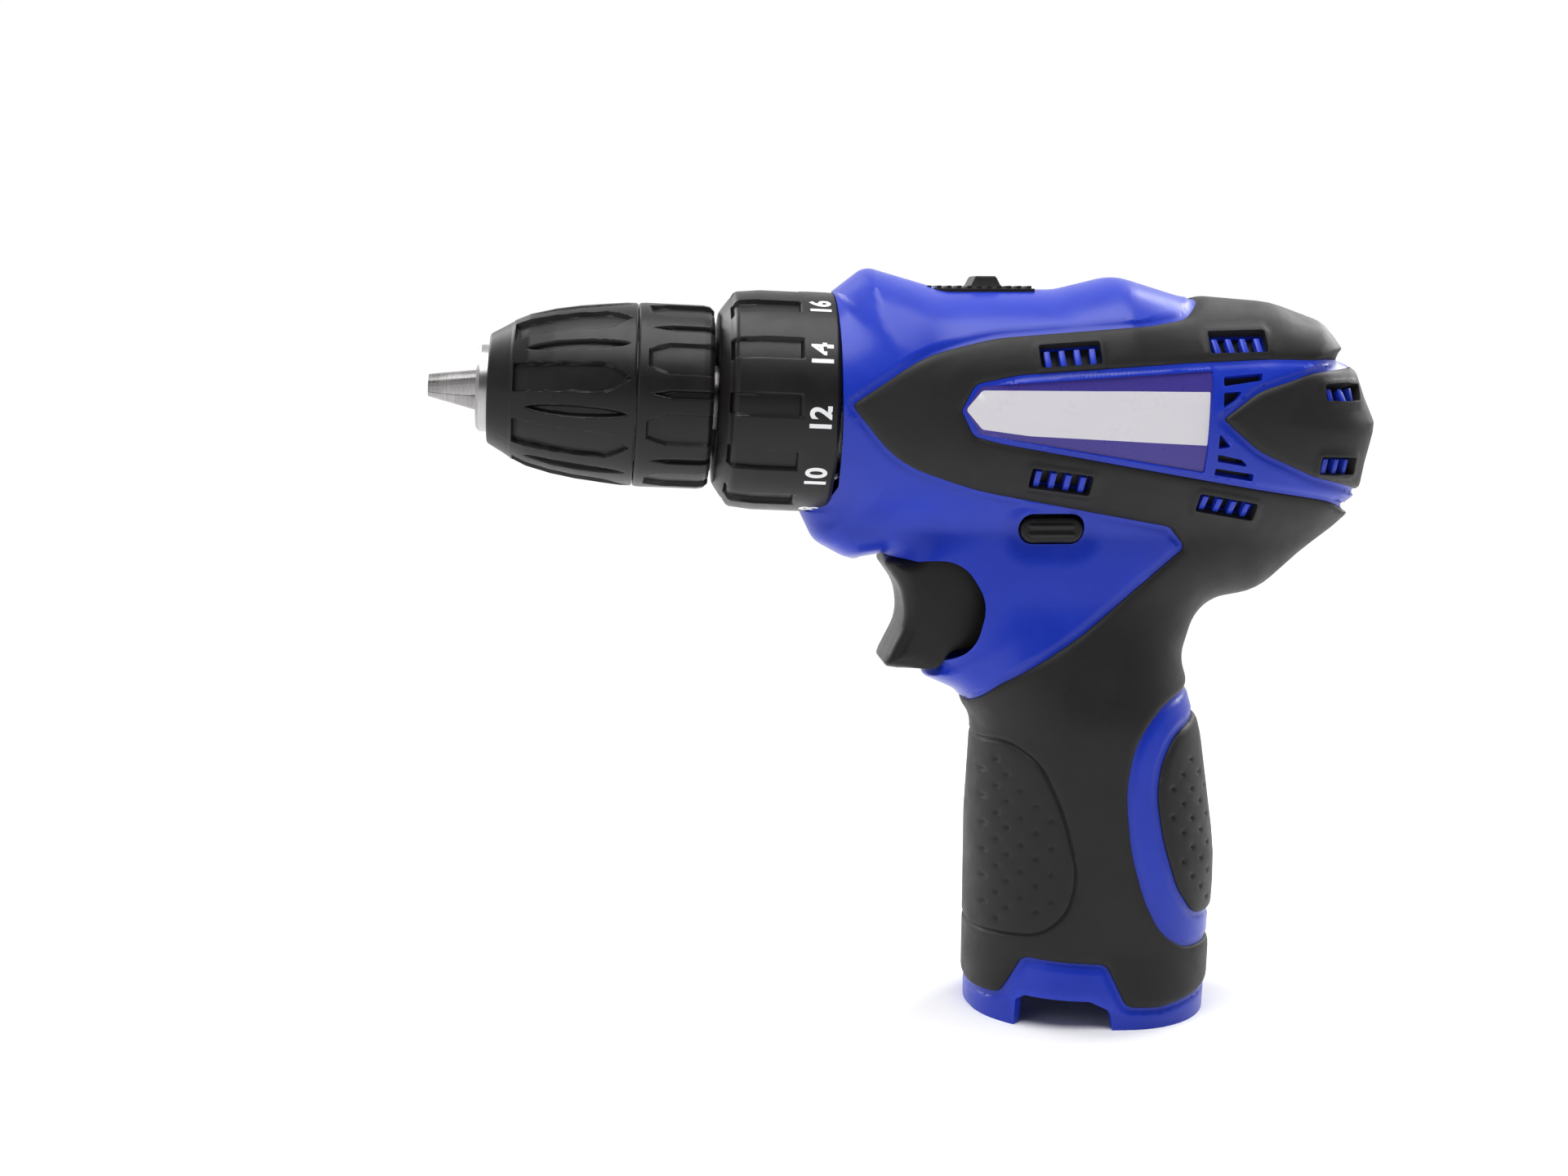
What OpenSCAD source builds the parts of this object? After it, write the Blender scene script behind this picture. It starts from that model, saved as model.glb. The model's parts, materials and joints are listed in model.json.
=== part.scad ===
// Compact cordless drill driver with a keyless chuck, torque ring and two-speed gearbox.
// Millimetres. +X runs from the nose to the rear, +Z is up, and the base stands on Z = 0.

/* [Body] */
// Height of the barrel axis above the base
axis_height = 131; // [120:0.5:140]
// Upward tilt of the nose
barrel_tilt = 2.4; // [0:0.1:5]
// Outer radius of the barrel housing
barrel_radius = 26.5; // [24:0.5:30]
// Half width of the grip
grip_radius = 22.5; // [20:0.5:25]
// Half width of the battery base
base_radius = 24; // [22:0.5:26]
// Half width of the body between barrel and grip
web_radius = 16; // [14:0.5:20]
// Wall of the housing halves
shell_wall = 2.4; // [1.6:0.1:3]
// Depth of the soft overmould
soft_depth = 1.2; // [0.8:0.1:1.5]

/* [Chuck] */
// Where the closed jaws end, along the barrel
jaw_tip = -144.5; // [-150:0.5:-140]
// Slope of the jaws to the chuck axis
jaw_slope = 14; // [10:0.5:16]
// Radius of one jaw
jaw_radius = 2.9; // [2:0.1:4]
// Length of one jaw
jaw_length = 34; // [28:1:40]
// How far a jaw slides back to open fully
jaw_travel = 20.6; // [10:0.1:22]
// Radius of the widest part of the sleeves
chuck_radius = 20; // [18:0.5:22]
// Number of grip flutes around each sleeve
sleeve_flutes = 8; // [6:1:12]

/* [Clutch] */
// Radius of the torque ring
ring_radius = 24; // [22:0.5:26]
// Number of grip pads around the torque ring
ring_pads = 12; // [8:1:18]
// Number of clutch pins
clutch_pins_count = 6; // [3:1:8]

/* [Gears] */
// Module of every gear
gear_module = 0.65; // [0.5:0.05:0.8]
// Teeth of a sun gear and of a planet
small_teeth = 15; // [15:3:15]
// Teeth of a ring gear
ring_teeth = 45; // [45:3:45]
// Tooth width as a share of half the pitch
tooth_share = 0.8; // [0.6:0.05:0.95]
// Length of a planet
planet_length = 5.5; // [4:0.5:6]

/* [Controls] */
// Travel of the trigger
trigger_travel = 6.5; // [4:0.5:7]
// Travel of the direction button to each side
button_travel = 2.5; // [2:0.5:3]
// Travel of the speed selector
selector_travel = 6; // [5:0.5:6]

/* [Hidden] */
$fn = 64;
nose_z = -57;
jaw_start = -0.69;
sun_r = gear_module * small_teeth / 2;
planet_orbit = 2 * sun_r;
ring_gear_r = 17.2;
motor_r = 18;
switch_x = -13;

// ---- helpers ----

// Outline corner p1 with a fillet of radius r, between its neighbours p0 and p2
function corner(p0, p1, p2, r) =
  let(a = p0 - p1, b = p2 - p1, ua = a / norm(a), ub = b / norm(b),
      half = acos(min(1, max(-1, ua * ub))) / 2,
      t = min(r / tan(half), 0.48 * norm(a), 0.48 * norm(b)),
      rr = t * tan(half), mid = (ua + ub) / norm(ua + ub),
      c = p1 + mid * rr / sin(half),
      s = p1 + ua * t - c, e = p1 + ub * t - c,
      sweep = 180 - 2 * half, turn = cross(s, e) > 0 ? 1 : -1,
      n = max(2, ceil(sweep / 15)))
  [for (i = [0:n]) let(w = turn * sweep * i / n)
    c + [s.x * cos(w) - s.y * sin(w), s.x * sin(w) + s.y * cos(w)]];

function xy(p) = [p[0], p[1]];

// A list of [x, z, fillet] turned into outline points
function rounded(pts) =
  let(n = len(pts))
  [for (i = [0:n - 1])
    let(p = pts[i], q = xy(p))
    each (p[2] <= 0.05 ? [q] : corner(xy(pts[(i + n - 1) % n]), q, xy(pts[(i + 1) % n]), p[2]))];

module on_barrel() {
  translate([0, 0, axis_height]) rotate([0, 90 + barrel_tilt, 0]) children();
}

// A side outline (x, z) given thickness across the body
module side(half, from = 0) {
  rotate([90, 0, 0]) linear_extrude(half - from) children();
}

module both_sides(half) {
  rotate([90, 0, 0]) linear_extrude(2 * half, center = true) children();
}

module tube(z0, z1, r_out, r_in) {
  translate([0, 0, z0]) difference() {
    cylinder(h = z1 - z0, r = r_out);
    translate([0, 0, -1]) cylinder(h = z1 - z0 + 2, r = r_in);
  }
}

module around(count, r) {
  for (i = [0:count - 1]) rotate([0, 0, 360 * i / count]) translate([r, 0, 0]) children();
}

module stadium(x0, x1, r) {
  translate([x0, 0]) circle(r);
  translate([x1, 0]) circle(r);
  translate([x0, -r]) square([x1 - x0, 2 * r]);
}

// ---- outlines seen from the side ----

module body_outline() {
  polygon(rounded([[-57, 157.8, 0.5], [-50, 163.2, 4], [-33, 158.3, 12], [-8, 158.4, 14],
    [5, 161.6, 12], [20, 157, 16], [40, 155.4, 18], [51, 151.4, 6], [55.8, 145.8, 0.8],
    [54.6, 143.8, 0.6], [57.4, 142.6, 0.6], [58.8, 140.4, 0.8], [62.6, 129.6, 2.5],
    [60.2, 115.1, 0.8], [58.8, 112.6, 0.6], [57, 111.2, 0.5], [58.7, 109.2, 2], [47.6, 100.6, 8],
    [38, 92.2, 14], [24.5, 90, 12], [20.4, 77.5, 9], [25, 61, 30], [28.6, 34, 60],
    [26.6, 0, 0], [-26.4, 0, 0], [-26.1, 42, 60], [-24.8, 64, 8], [-29.5, 70.2, 6],
    [-37, 73.6, 1], [-35.2, 76.6, 0.6], [-27.4, 80.6, 9], [-24.6, 91, 9], [-30, 100, 8],
    [-46, 100.4, 3], [-53.5, 99.2, 6], [-61, 103.2, 6], [-64.4, 110.4, 0.8],
    [-58.4, 113.4, 1], [-57, 116, 0.5]]));
}

module soft_outline() {
  difference() {
    polygon(rounded([[24.4, 170, 0], [24.4, 157.6, 2], [17.5, 152, 8], [8.6, 150.6, 10],
      [-27, 147.6, 14], [-40.6, 143.8, 14], [-55.3, 133.9, 1], [-44, 121, 12],
      [-29.6, 115.9, 25], [0.5, 110, 30], [14.2, 107.4, 3.2], [17.2, 103, 1.5], [-5, 85.2, 60],
      [-26.5, 74.4, 6], [-40, 71, 0], [-40, 5, 0], [-26.6, 5.2, 2], [-21.6, 6.2, 2.5],
      [-17.2, 15, 2.5], [0.4, 13.8, 2.5], [4.6, 4.9, 2.5], [12, 4.4, 4], [27, 6.2, 0],
      [40, 6.2, 0], [80, 60, 0], [80, 170, 0]]));
    window_outline();
    polygon(rounded([[40, 74, 0], [20, 71.8, 4], [9, 66.2, 8], [4.4, 55, 9], [6.4, 39, 40],
      [11, 23.6, 12], [18.5, 15.8, 7], [40, 14, 0], [40, 20.5, 0], [22, 22.2, 4],
      [15.5, 31, 14], [11, 51, 10], [15, 62, 7], [24, 65, 3], [40, 66, 0]]));
  }
}

module window_outline() {
  polygon(rounded([[-32, 133, 1], [-29, 138.4, 3], [15, 143, 40], [46, 144.8, 20],
    [62, 140.8, 0], [80, 140, 0], [80, 110, 0], [61, 110.2, 0], [46, 114.2, 20],
    [15, 118.6, 40], [-29.5, 127.2, 3]]));
}

module cap_outline() {
  polygon(rounded([[24, 130.9, 0.5], [32, 136.8, 14], [44.5, 140.6, 18], [58, 141, 0],
    [80, 141, 0], [80, 113.6, 0], [60, 114, 0], [45, 118.2, 18], [32, 123.8, 16]]));
}

module label_outline() {
  polygon(rounded([[-30.6, 133, 1], [-27.6, 137.4, 1.5], [20.6, 140.9, 0.5],
    [19.6, 119.8, 0.5], [-28, 128.4, 1.5]]));
}

// ---- the body as solids, all drawn in by d ----

module body_form(d) {
  intersection() {
    both_sides(40) offset(delta = -d) body_outline();
    union() {
      on_barrel() rotate_extrude(convexity = 4)
        polygon([[0, -80], [barrel_radius - 1.2 - d, -80], [barrel_radius - 1.2 - d, nose_z],
          [barrel_radius - d, nose_z + 14], [barrel_radius - d, 14],
          [barrel_radius - 3 - d, 40], [barrel_radius - 8 - d, 56],
          [barrel_radius - 13 - d, 66 - d], [0, 66 - d]]);
      on_barrel() translate([-10, 0, nose_z]) cylinder(h = 110, r = 20 - d);
      translate([0, 0, 66]) linear_extrude(60) stadium(-50, 34, web_radius - d);
      translate([0, 0, 90]) linear_extrude(36) stadium(30, 49, 11 - d);
      linear_extrude(110) stadium(-4, 5, grip_radius - d);
      translate([0, 0, -1]) linear_extrude(16) stadium(-2.4, 2.6, base_radius - d);
    }
  }
}

// Ribs and bosses that stand inside the housing
module inner_ribs() {
  on_barrel() {
    tube(-50, -47.6, 45, 19.6);
    tube(-30, -28.4, 45, 19.6);
    tube(-11, -9, 45, 19.6);
    tube(16, 17.6, 45, 18.1);
    tube(40, 42, 45, 18.1);
  }
  for (p = screw_places) translate([p.x, 0, p.y]) rotate([90, 0, 0])
    cylinder(h = 60, r = 3.4, center = true);
  translate([-30, -30, 60]) cube([60, 60, 2]);
  translate([-24, -30, 73.5]) cube([2, 60, 5]);
  translate([10, -30, 73.5]) cube([2, 60, 26]);
}

screw_places = [[-56.8, 105.4], [-45, 156], [6, 154.4], [50.5, 144.2], [46, 104],
  [35, 98], [14.6, 76], [-20, 68.6]];

module nose_bores() {
  on_barrel() {
    translate([0, 0, -80]) cylinder(h = 23, r = ring_radius + 0.4);
    translate([0, 0, -80]) cylinder(h = 40, r = 19.6);
  }
}

module housing() {
  difference() {
    body_form(0);
    difference() {
      body_form(shell_wall);
      difference() {
        inner_ribs();
        on_barrel() translate([0, 0, -60]) cylinder(h = 51, r = 19.6);
        on_barrel() translate([0, 0, -9.5]) cylinder(h = 70, r = 18.1);
        translate([-21, -12, 77]) cube([30, 24, 22]);
        translate([-26, -13, 59]) cube([50, 26, 4]);
        translate([8, -8, 98]) cube([20, 16, 14.6]);
        translate([27.9, -8, 107]) cube([30, 16, 15]);
      }
    }
    difference() {
      both_sides(40) soft_outline();
      body_form(soft_depth);
    }
    difference() {
      both_sides(40) offset(delta = 0.1) label_outline();
      body_form(0.8);
    }
    both_sides(40) offset(delta = 0.1) cap_outline();
    nose_bores();
    // battery mouth and the two latch notches
    translate([0, 0, -2]) linear_extrude(6) stadium(-2.4, 2.6, base_radius - shell_wall);
    both_sides(40) polygon(rounded([[-19, -1, 0], [-18.6, 5.8, 1], [-16.6, 7, 1],
      [-2.6, 6.2, 2], [1.4, 4, 1.5], [2.2, -1, 0]]));
    // trigger mouth, direction button slot, lamp seat and selector well
    translate([-52, -13, 74]) cube([24, 26, 26.6]);
    translate([-29, -12.2, 74.4]) cube([14.4, 24.4, 25.4]);
    button_place() cube([14.8, 80, 6], center = true);
    lamp_place() translate([0, 0, -9]) cylinder(h = 12, r = 2.9);
    on_barrel() {
      translate([-30, -6.4, -38]) cube([4.2, 12.8, 33]);
      translate([-30, -4.4, -34]) cube([10, 8.8, 22]);
    }
    for (p = vent_places) vent_slots(p);
    for (s = lattice) both_sides(40) polygon(s);
    for (p = screw_places) translate([p.x, 0, p.y]) rotate([-90, 0, 0]) {
      translate([0, 0, -8]) cylinder(h = 60, r = 1.3);
      translate([0, 0, 5]) cylinder(h = 60, r = 2.6);
    }
  }
}

// Vent centre x, centre z, length, lean of the comb
vent_places = [[-9.2, 144.3, 13.2, 4], [27.8, 146.9, 13.4, 1.5], [-10.9, 118, 13.4, -8],
  [25.8, 112.2, 13.4, -10.5]];

lattice = [[[25, 138.6], [33, 139.8], [33, 138.2], [25, 137]],
  [[25, 135.6], [28.6, 136], [25, 132.8]],
  [[24.4, 127.8], [27.6, 125], [24.4, 125.4]],
  [[24, 124.2], [29.4, 122.6], [31, 120.8], [24, 122.4]],
  [[23.4, 120.6], [32, 119], [32, 117.2], [23.4, 118.8]]];

module vent_window(p) {
  translate([p[0], 0, p[1]]) rotate([0, -p[3], 0]) cube([p[2], 90, 5.6], center = true);
}

module vent_slots(p) {
  translate([p[0], 0, p[1]]) rotate([0, -p[3], 0]) for (i = [-1.5:1:1.5])
    translate([i * (p[2] - 0.6) / 4, 0, 0]) cube([1.7, 90, 4.6], center = true);
}

module half_of(side_sign) {
  intersection() {
    children();
    translate([-100, side_sign < 0 ? -60.02 : 0.02, -10]) cube([200, 60, 200]);
  }
}

module left_housing() {
  color("royalblue") half_of(-1) housing();
}

module right_housing() {
  color("royalblue") half_of(1) housing();
}

module overmould() {
  difference() {
    intersection() {
      both_sides(40) offset(delta = -0.06) soft_outline();
      body_form(0);
    }
    body_form(soft_depth - 0.06);
    nose_bores();
    for (p = vent_places) vent_window(p);
    translate([-52, -13, 74]) cube([24, 26, 26.6]);
    for (p = screw_places) translate([p.x, 3, p.y]) rotate([-90, 0, 0]) cylinder(h = 60, r = 2.7);
  }
}

module left_overmould() {
  color("dimgray") half_of(-1) overmould();
}

module right_overmould() {
  color("dimgray") half_of(1) overmould();
}

module rear_cap() {
  color("dimgray") difference() {
    intersection() {
      both_sides(40) cap_outline();
      body_form(0);
    }
    intersection() {
      body_form(2.2);
      translate([-10, -40, 100]) cube([67, 80, 60]);
    }
    on_barrel() translate([0, 0, 20]) cylinder(h = 36, r = 18.4);
    for (z = [136.4, 120.8]) translate([49.4, -40, z - 1.6]) for (i = [0:2])
      translate([i * 2.2, 0, 0]) cube([1.4, 80, 3.2]);
  }
}

module nameplate() {
  difference() {
    intersection() {
      both_sides(40) label_outline();
      body_form(0.25);
    }
    body_form(0.74);
  }
}

module left_nameplate() {
  color("gainsboro") half_of(-1) nameplate();
}

module right_nameplate() {
  color("gainsboro") half_of(1) nameplate();
}

module housing_screws() {
  color("silver") for (p = screw_places) translate([p.x, 0, p.y]) rotate([-90, 0, 0]) {
    translate([0, 0, -7.4]) cylinder(h = 12.6, r = 1.28);
    difference() {
      translate([0, 0, 5.05]) cylinder(h = 2.2, r = 2.5);
      translate([-1.6, -0.35, 6.2]) cube([3.2, 0.7, 2]);
      translate([-0.35, -1.6, 6.2]) cube([0.7, 3.2, 2]);
    }
  }
}

// ---- chuck ----

function jaw_rim(z) = jaw_start + (z - jaw_tip) * tan(jaw_slope) + jaw_radius / cos(jaw_slope);

module jaw_axis(i) {
  rotate([0, 0, 120 * i]) translate([jaw_start, 0, jaw_tip]) rotate([0, jaw_slope, 0]) children();
}

module jaw(i) {
  color("silver") on_barrel() intersection() {
    jaw_axis(i) translate([0, 0, -3]) cylinder(h = jaw_length + 3, r = jaw_radius);
    rotate([0, 0, 120 * i]) translate([0, 0, jaw_tip]) linear_extrude(60)
      polygon([[0.06, 0], [20, 34.5], [20, -34.5]]);
  }
}

module chuck_jaw_1() { jaw(0); }
module chuck_jaw_2() { jaw(1); }
module chuck_jaw_3() { jaw(2); }

module chuck_body() {
  color("silver") on_barrel() difference() {
    rotate_extrude() polygon([[5.2, -134], [8.7, -134], [9.4, -133.3], [9.4, -131.2],
      [10.4, -131.2], [10.4, -121], [12.4, -119], [12.4, -114],
      [jaw_rim(-114) - 0.6, -114], [jaw_rim(-105.2) - 0.6, -105.2], [14.5, -105.2],
      [14.5, -84.2], [4.9, -84.2], [4.9, -97], [2.7, -97], [2.7, -102], [5.2, -102]]);
    for (i = [0:2]) jaw_axis(i) translate([0, 0, -3])
      cylinder(h = jaw_length + jaw_travel + 4, r = jaw_radius + 0.08);
  }
}

module chuck_nut() {
  color("silver") on_barrel() difference() {
    rotate_extrude() polygon([[jaw_rim(-113.4) + 0.12, -113.4], [15.96, -113.4],
      [15.96, -106.9], [jaw_rim(-106.9) + 0.12, -106.9]]);
    translate([-30, -0.1, -120]) cube([60, 0.2, 20]);
  }
}

module chuck_thrust_race() {
  color("silver") on_barrel() difference() {
    tube(-106.75, -105.45, 16.6, 12.5);
    around(12, 14.6) translate([0, 0, -107]) cylinder(h = 2, r = 0.6);
  }
}

module chuck_front_sleeve() {
  color("#202022") on_barrel() difference() {
    rotate_extrude() polygon([[12, -131.5], [13.6, -128.4], [16.4, -123],
      [17.8, -117.6], [18.7, -112.3], [19.3, -107], [chuck_radius - 0.2, -101.5],
      [chuck_radius - 0.6, -100.4], [17.4, -100.4], [17.4, -106.8], [16, -106.8],
      [16, -113.6], [12.8, -113.6], [12.8, -119.4], [10.8, -121.4], [10.8, -131.5]]);
    for (i = [0:sleeve_flutes - 1]) rotate([0, 0, 360 * i / sleeve_flutes + 33])
      translate([16.1, -3.2, -126]) rotate([0, 8.2, 0]) cube([6, 6.4, 19.5]);
  }
}

module chuck_rear_sleeve() {
  color("#202022") on_barrel() difference() {
    rotate_extrude() polygon([[16.3, -100], [chuck_radius - 0.6, -100],
      [chuck_radius, -99.2], [chuck_radius, -85.2], [chuck_radius - 1.2, -83.6],
      [9, -83.6], [9, -84.1], [14.52, -84.1], [14.52, -88], [16.3, -89]]);
    for (i = [0:sleeve_flutes - 1]) rotate([0, 0, 360 * i / sleeve_flutes + 19.5])
      translate([chuck_radius - 1, -3.6, -95]) cube([4, 7.2, 14]);
  }
}

module chuck_screw() {
  color("dimgray") on_barrel() difference() {
    rotate_extrude() polygon([[0, -104.6], [4.2, -104.6], [4.2, -103.6], [2.6, -102.05],
      [2.6, -88], [0, -88]]);
    translate([-0.6, -3, -105]) cube([1.2, 6, 1.6]);
  }
}

module spindle() {
  color("silver") on_barrel() {
    difference() {
      rotate_extrude() polygon([[2.62, -96.8], [4.85, -96.8], [4.85, -84],
        [7, -83.4], [7, -81.8], [5.95, -81.6], [5.95, -46], [7.4, -45.6], [7.4, -44],
        [15.2, -43.6], [15.2, -41.4], [0, -41.4], [0, -87], [2.62, -87]]);
    }
    around(3, planet_orbit) translate([0, 0, -41.5]) cylinder(h = 7.4, r = 1.5);
  }
}

module spindle_bush() {
  color("peru") on_barrel() tube(-79.5, -60, 8.4, 6);
}

module spindle_clip() {
  color("dimgray") on_barrel() tube(-81.3, -80.2, 8.6, 6.02);
}

// ---- clutch ----

module clutch_ring() {
  color("#202022") on_barrel() difference() {
    rotate_extrude() polygon([[13, -82.6], [18.6, -82.6], [19.3, -82.2], [23.1, -79.5],
      [ring_radius, -74.6], [ring_radius, -57.4], [20.6, -57.4], [20.6, -80.4],
      [13, -80.4]]);
    rotate([0, 0, 0.2]) around(ring_pads, ring_radius - 0.9)
      translate([0, -2.5, -79]) cube([4, 5, 13.5]);
  }
  color("#202022") on_barrel() around(6, 19.6)
    translate([0, -1.2, -80.5]) cube([1.4, 2.4, 22]);
}

module clutch_nut() {
  color("dimgray") on_barrel() difference() {
    tube(-67, -63, 20.2, 11.4);
    around(6, 19.3) translate([0, -1.5, -70]) cube([4, 3, 10]);
  }
}

module clutch_spring() {
  color("silver") on_barrel() for (i = [0:2]) translate([0, 0, -62.1 + 2.3 * i])
    rotate_extrude() translate([14.6, 0]) circle(r = 0.84, $fn = 24);
}

module clutch_washer() {
  color("silver") on_barrel() tube(-56.6, -55.6, 17, 11.4);
}

module clutch_pins() {
  color("silver") on_barrel() around(clutch_pins_count, 15)
    translate([0, 0, -55.5]) cylinder(h = 8.9, r = 1.4);
}

module clutch_retainer() {
  color("silver") on_barrel() difference() {
    tube(-80.2, -79, 19, 9.4);
    around(3, 10.8) translate([0, 0, -81]) cylinder(h = 3, r = 0.8);
  }
}

// ---- gearbox ----

module gearbox_nose() {
  color("#303033") on_barrel() difference() {
    union() {
      tube(-78.9, -53, 11, 8.45);
      tube(-53, -50.2, 19.4, 8.45);
    }
    around(3, 10) translate([0, 0, -79.5]) cylinder(h = 7, r = 0.6);
    around(clutch_pins_count, 15) translate([0, 0, -56]) cylinder(h = 10, r = 1.48);
  }
}

module gearbox_case() {
  color("#3a3a40") on_barrel() difference() {
    tube(-50.1, -10, 19.5, 17.3);
    // slot for the shift fork
    rotate([0, 0, 180]) translate([14, -2.2, -33.5]) cube([8, 4.4, 13.5]);
  }
}

// One tooth flank list: angles and radii for a gear of n teeth
function tooth_points(n, root, tip, share) =
  let(rp = gear_module * n / 2, half = share * 90 / n,
      slope = tan(20) * 180 / (PI * rp))
  [for (i = [0:n - 1]) let(a = 360 * i / n)
    each [for (q = [[-half - slope * (rp - root), root], [-half + slope * (tip - rp), tip],
                    [half - slope * (tip - rp), tip], [half + slope * (rp - root), root]])
      [q[1] * cos(a + q[0]), q[1] * sin(a + q[0])]]];

module small_gear_shape() {
  polygon(tooth_points(small_teeth, sun_r - 1.05 * gear_module, sun_r + 0.85 * gear_module,
    tooth_share));
}

module ring_gear(z0, z1) {
  rp = gear_module * ring_teeth / 2;
  on_barrel() translate([0, 0, z0]) difference() {
    cylinder(h = z1 - z0, r = ring_gear_r);
    translate([0, 0, -1]) linear_extrude(z1 - z0 + 2)
      polygon(tooth_points(ring_teeth, rp - 0.8 * gear_module, rp + 1.1 * gear_module,
        2 - tooth_share));
  }
}

module ring_gear_front() {
  color("gray") {
    ring_gear(-40.6, -31.5);
    on_barrel() tube(-46.4, -43.9, ring_gear_r, 15.6);
    on_barrel() tube(-43.9, -40.6, ring_gear_r, 15.6);
  }
}

module ring_gear_shift() {
  color("gray") difference() {
    ring_gear(-30.9, -22.6);
    on_barrel() tube(-28.2, -26.8, 20, 16.4);
  }
}

module ring_gear_rear() {
  color("gray") ring_gear(-16.6, -10.2);
}

// Carrier plate with the next sun in front and three planet pins behind
module carrier(z) {
  color("silver") on_barrel() {
    translate([0, 0, z - 2]) cylinder(h = 2, r = 13.2);
    translate([0, 0, z - 8]) linear_extrude(6.1) small_gear_shape();
    around(3, planet_orbit) translate([0, 0, z - 0.1]) cylinder(h = 5.9, r = 1.5);
  }
}

module carrier_1() { carrier(-17.4); }
module carrier_2() { carrier(-29.4); }

module planet(z, i) {
  color("gray") on_barrel() rotate([0, 0, 120 * i]) translate([planet_orbit, 0, z])
    difference() {
      linear_extrude(planet_length) small_gear_shape();
      translate([0, 0, -1]) cylinder(h = planet_length + 2, r = 1.55);
    }
}

module planet_1a() { planet(-17.1, 0); }
module planet_1b() { planet(-17.1, 1); }
module planet_1c() { planet(-17.1, 2); }
module planet_2a() { planet(-29.1, 0); }
module planet_2b() { planet(-29.1, 1); }
module planet_2c() { planet(-29.1, 2); }
module planet_3a() { planet(-41.1, 0); }
module planet_3b() { planet(-41.1, 1); }
module planet_3c() { planet(-41.1, 2); }

module motor_plate() {
  color("silver") on_barrel() difference() {
    tube(-9.9, -8, 19.4, 6.5);
    around(2, 8) translate([0, 0, -11]) cylinder(h = 5, r = 1.3);
  }
}

module motor_can() {
  color("silver") on_barrel() {
    difference() {
      tube(-4, 44, motor_r, motor_r - 2.2);
      around(4, 17) translate([0, 0, 37]) cube([6, 5, 8], center = true);
    }
    tube(-4, -2.2, motor_r, 2.2);
    tube(-7.9, -4, 6.3, 2.2);
  }
}

// Two curved magnets held in the can
module magnets() {
  color("#303033") on_barrel() difference() {
    tube(-1.6, 31, motor_r - 2.22, 12.4);
    translate([-30, -3, -5]) cube([60, 6, 40]);
  }
}

module motor_end_cap() {
  color("#202022") on_barrel() {
    tube(44.05, 47, motor_r - 0.2, 5.2);
    tube(44.05, 50.5, 5.2, 2.2);
    for (s = [-1, 1]) translate([-2.4, s * 11 - 1.6, 47]) cube([4.8, 3.2, 4]);
  }
}

module armature() {
  color("peru") on_barrel() {
    translate([0, 0, -9]) cylinder(h = 59, r = 2.15);
    translate([0, 0, -16.8]) linear_extrude(7.9) small_gear_shape();
    difference() {
      cylinder(h = 31, r = 11.8);
      for (i = [0:4]) rotate([0, 0, 72 * i]) translate([9.5, -0.8, -1]) cube([4, 1.6, 34]);
    }
    translate([0, 0, 31]) cylinder(h = 3, r = 10);
    translate([0, 0, 35]) cylinder(h = 8, r = 4.6);
  }
}

// ---- controls ----

module shift_fork() {
  color("silver") on_barrel() rotate([0, 0, 180]) {
    translate([20.4, 0, -27.5]) rotate([0, -90, 0]) cylinder(h = 3.6, r = 0.6);
    translate([20.2, -1.6, -28.4]) cube([1, 3.2, 1.8]);
    translate([20.9, -0.6, -28]) cube([4.2, 1.2, 1]);
  }
}

module speed_selector() {
  color("#202022") on_barrel() rotate([0, 0, 180]) {
    translate([26.1, -6, -37.4]) difference() {
      cube([1.8, 12, 25]);
      for (i = [0:10]) translate([1.2, -1, 0.9 + 2.2 * i]) cube([1, 14, 1.1]);
    }
    translate([27.7, -4.6, -29.4]) cube([2.6, 9.2, 6.2]);
    translate([22.4, -3.6, -30.4]) difference() {
      cube([3.8, 7.2, 8]);
      translate([-1, 2.9, 2.3]) cube([4.2, 1.4, 1.2]);
    }
  }
}

module trigger() {
  color("#202022") {
    difference() {
      intersection() {
        both_sides(11.6) polygon(rounded([[-48, 99.9, 1], [-41.6, 88, 22], [-46, 75.2, 1.2],
          [-33, 74.8, 1], [-26, 78.6, 3], [-22.6, 80.6, 1], [-22.6, 98.4, 1], [-30, 99.6, 1]]));
        translate([0, 0, 70]) linear_extrude(34) stadium(-36, 0, 11.6);
      }
      translate([-38, -9.4, 80]) cube([14, 18.8, 16]);
    }
    translate([-39, 0, 88]) rotate([0, 90, 0]) cylinder(h = 30, r = 2.4);
  }
}

module trigger_spring() {
  color("silver") for (i = [0:2]) translate([-20.8 + 3 * i, 0, 88]) rotate([0, 90, 0])
    rotate_extrude() translate([4, 0]) circle(r = 0.5, $fn = 16);
}

module switch_body() {
  color("#303033") difference() {
    translate([switch_x, -9, 77.5]) cube([22, 18, 21]);
    translate([switch_x - 1, 0, 88]) rotate([0, 90, 0]) cylinder(h = 14, r = 2.5);
  }
}

module button_place() {
  translate([-11.2, 0, 106.8]) children();
}

module direction_button() {
  color("#202022") difference() {
    button_place() rotate([90, 0, 0]) linear_extrude(34, center = true) stadium(-4.3, 4.3, 2.7);
    button_place() translate([-2.2, -2, -4.4]) cube([4.4, 4, 2.6]);
  }
}

module lamp_place() {
  translate([-52, 0, 101.5]) rotate([0, 215, 0]) children();
}

module lamp_lens() {
  color("white") lamp_place() {
    translate([0, 0, -7.5]) cylinder(h = 7.5, r = 2.5);
    sphere(r = 2.5);
  }
}

module terminal_block() {
  color("#303033") difference() {
    union() {
      translate([-15, -12.6, 59.2]) cube([32, 25.2, 3.4]);
      translate([-8, -8, 62.5]) cube([18, 16, 5]);
    }
    for (x = [-8, 1, 10]) translate([x - 0.9, -4.2, 58]) cube([1.8, 8.4, 8]);
  }
}

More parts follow.
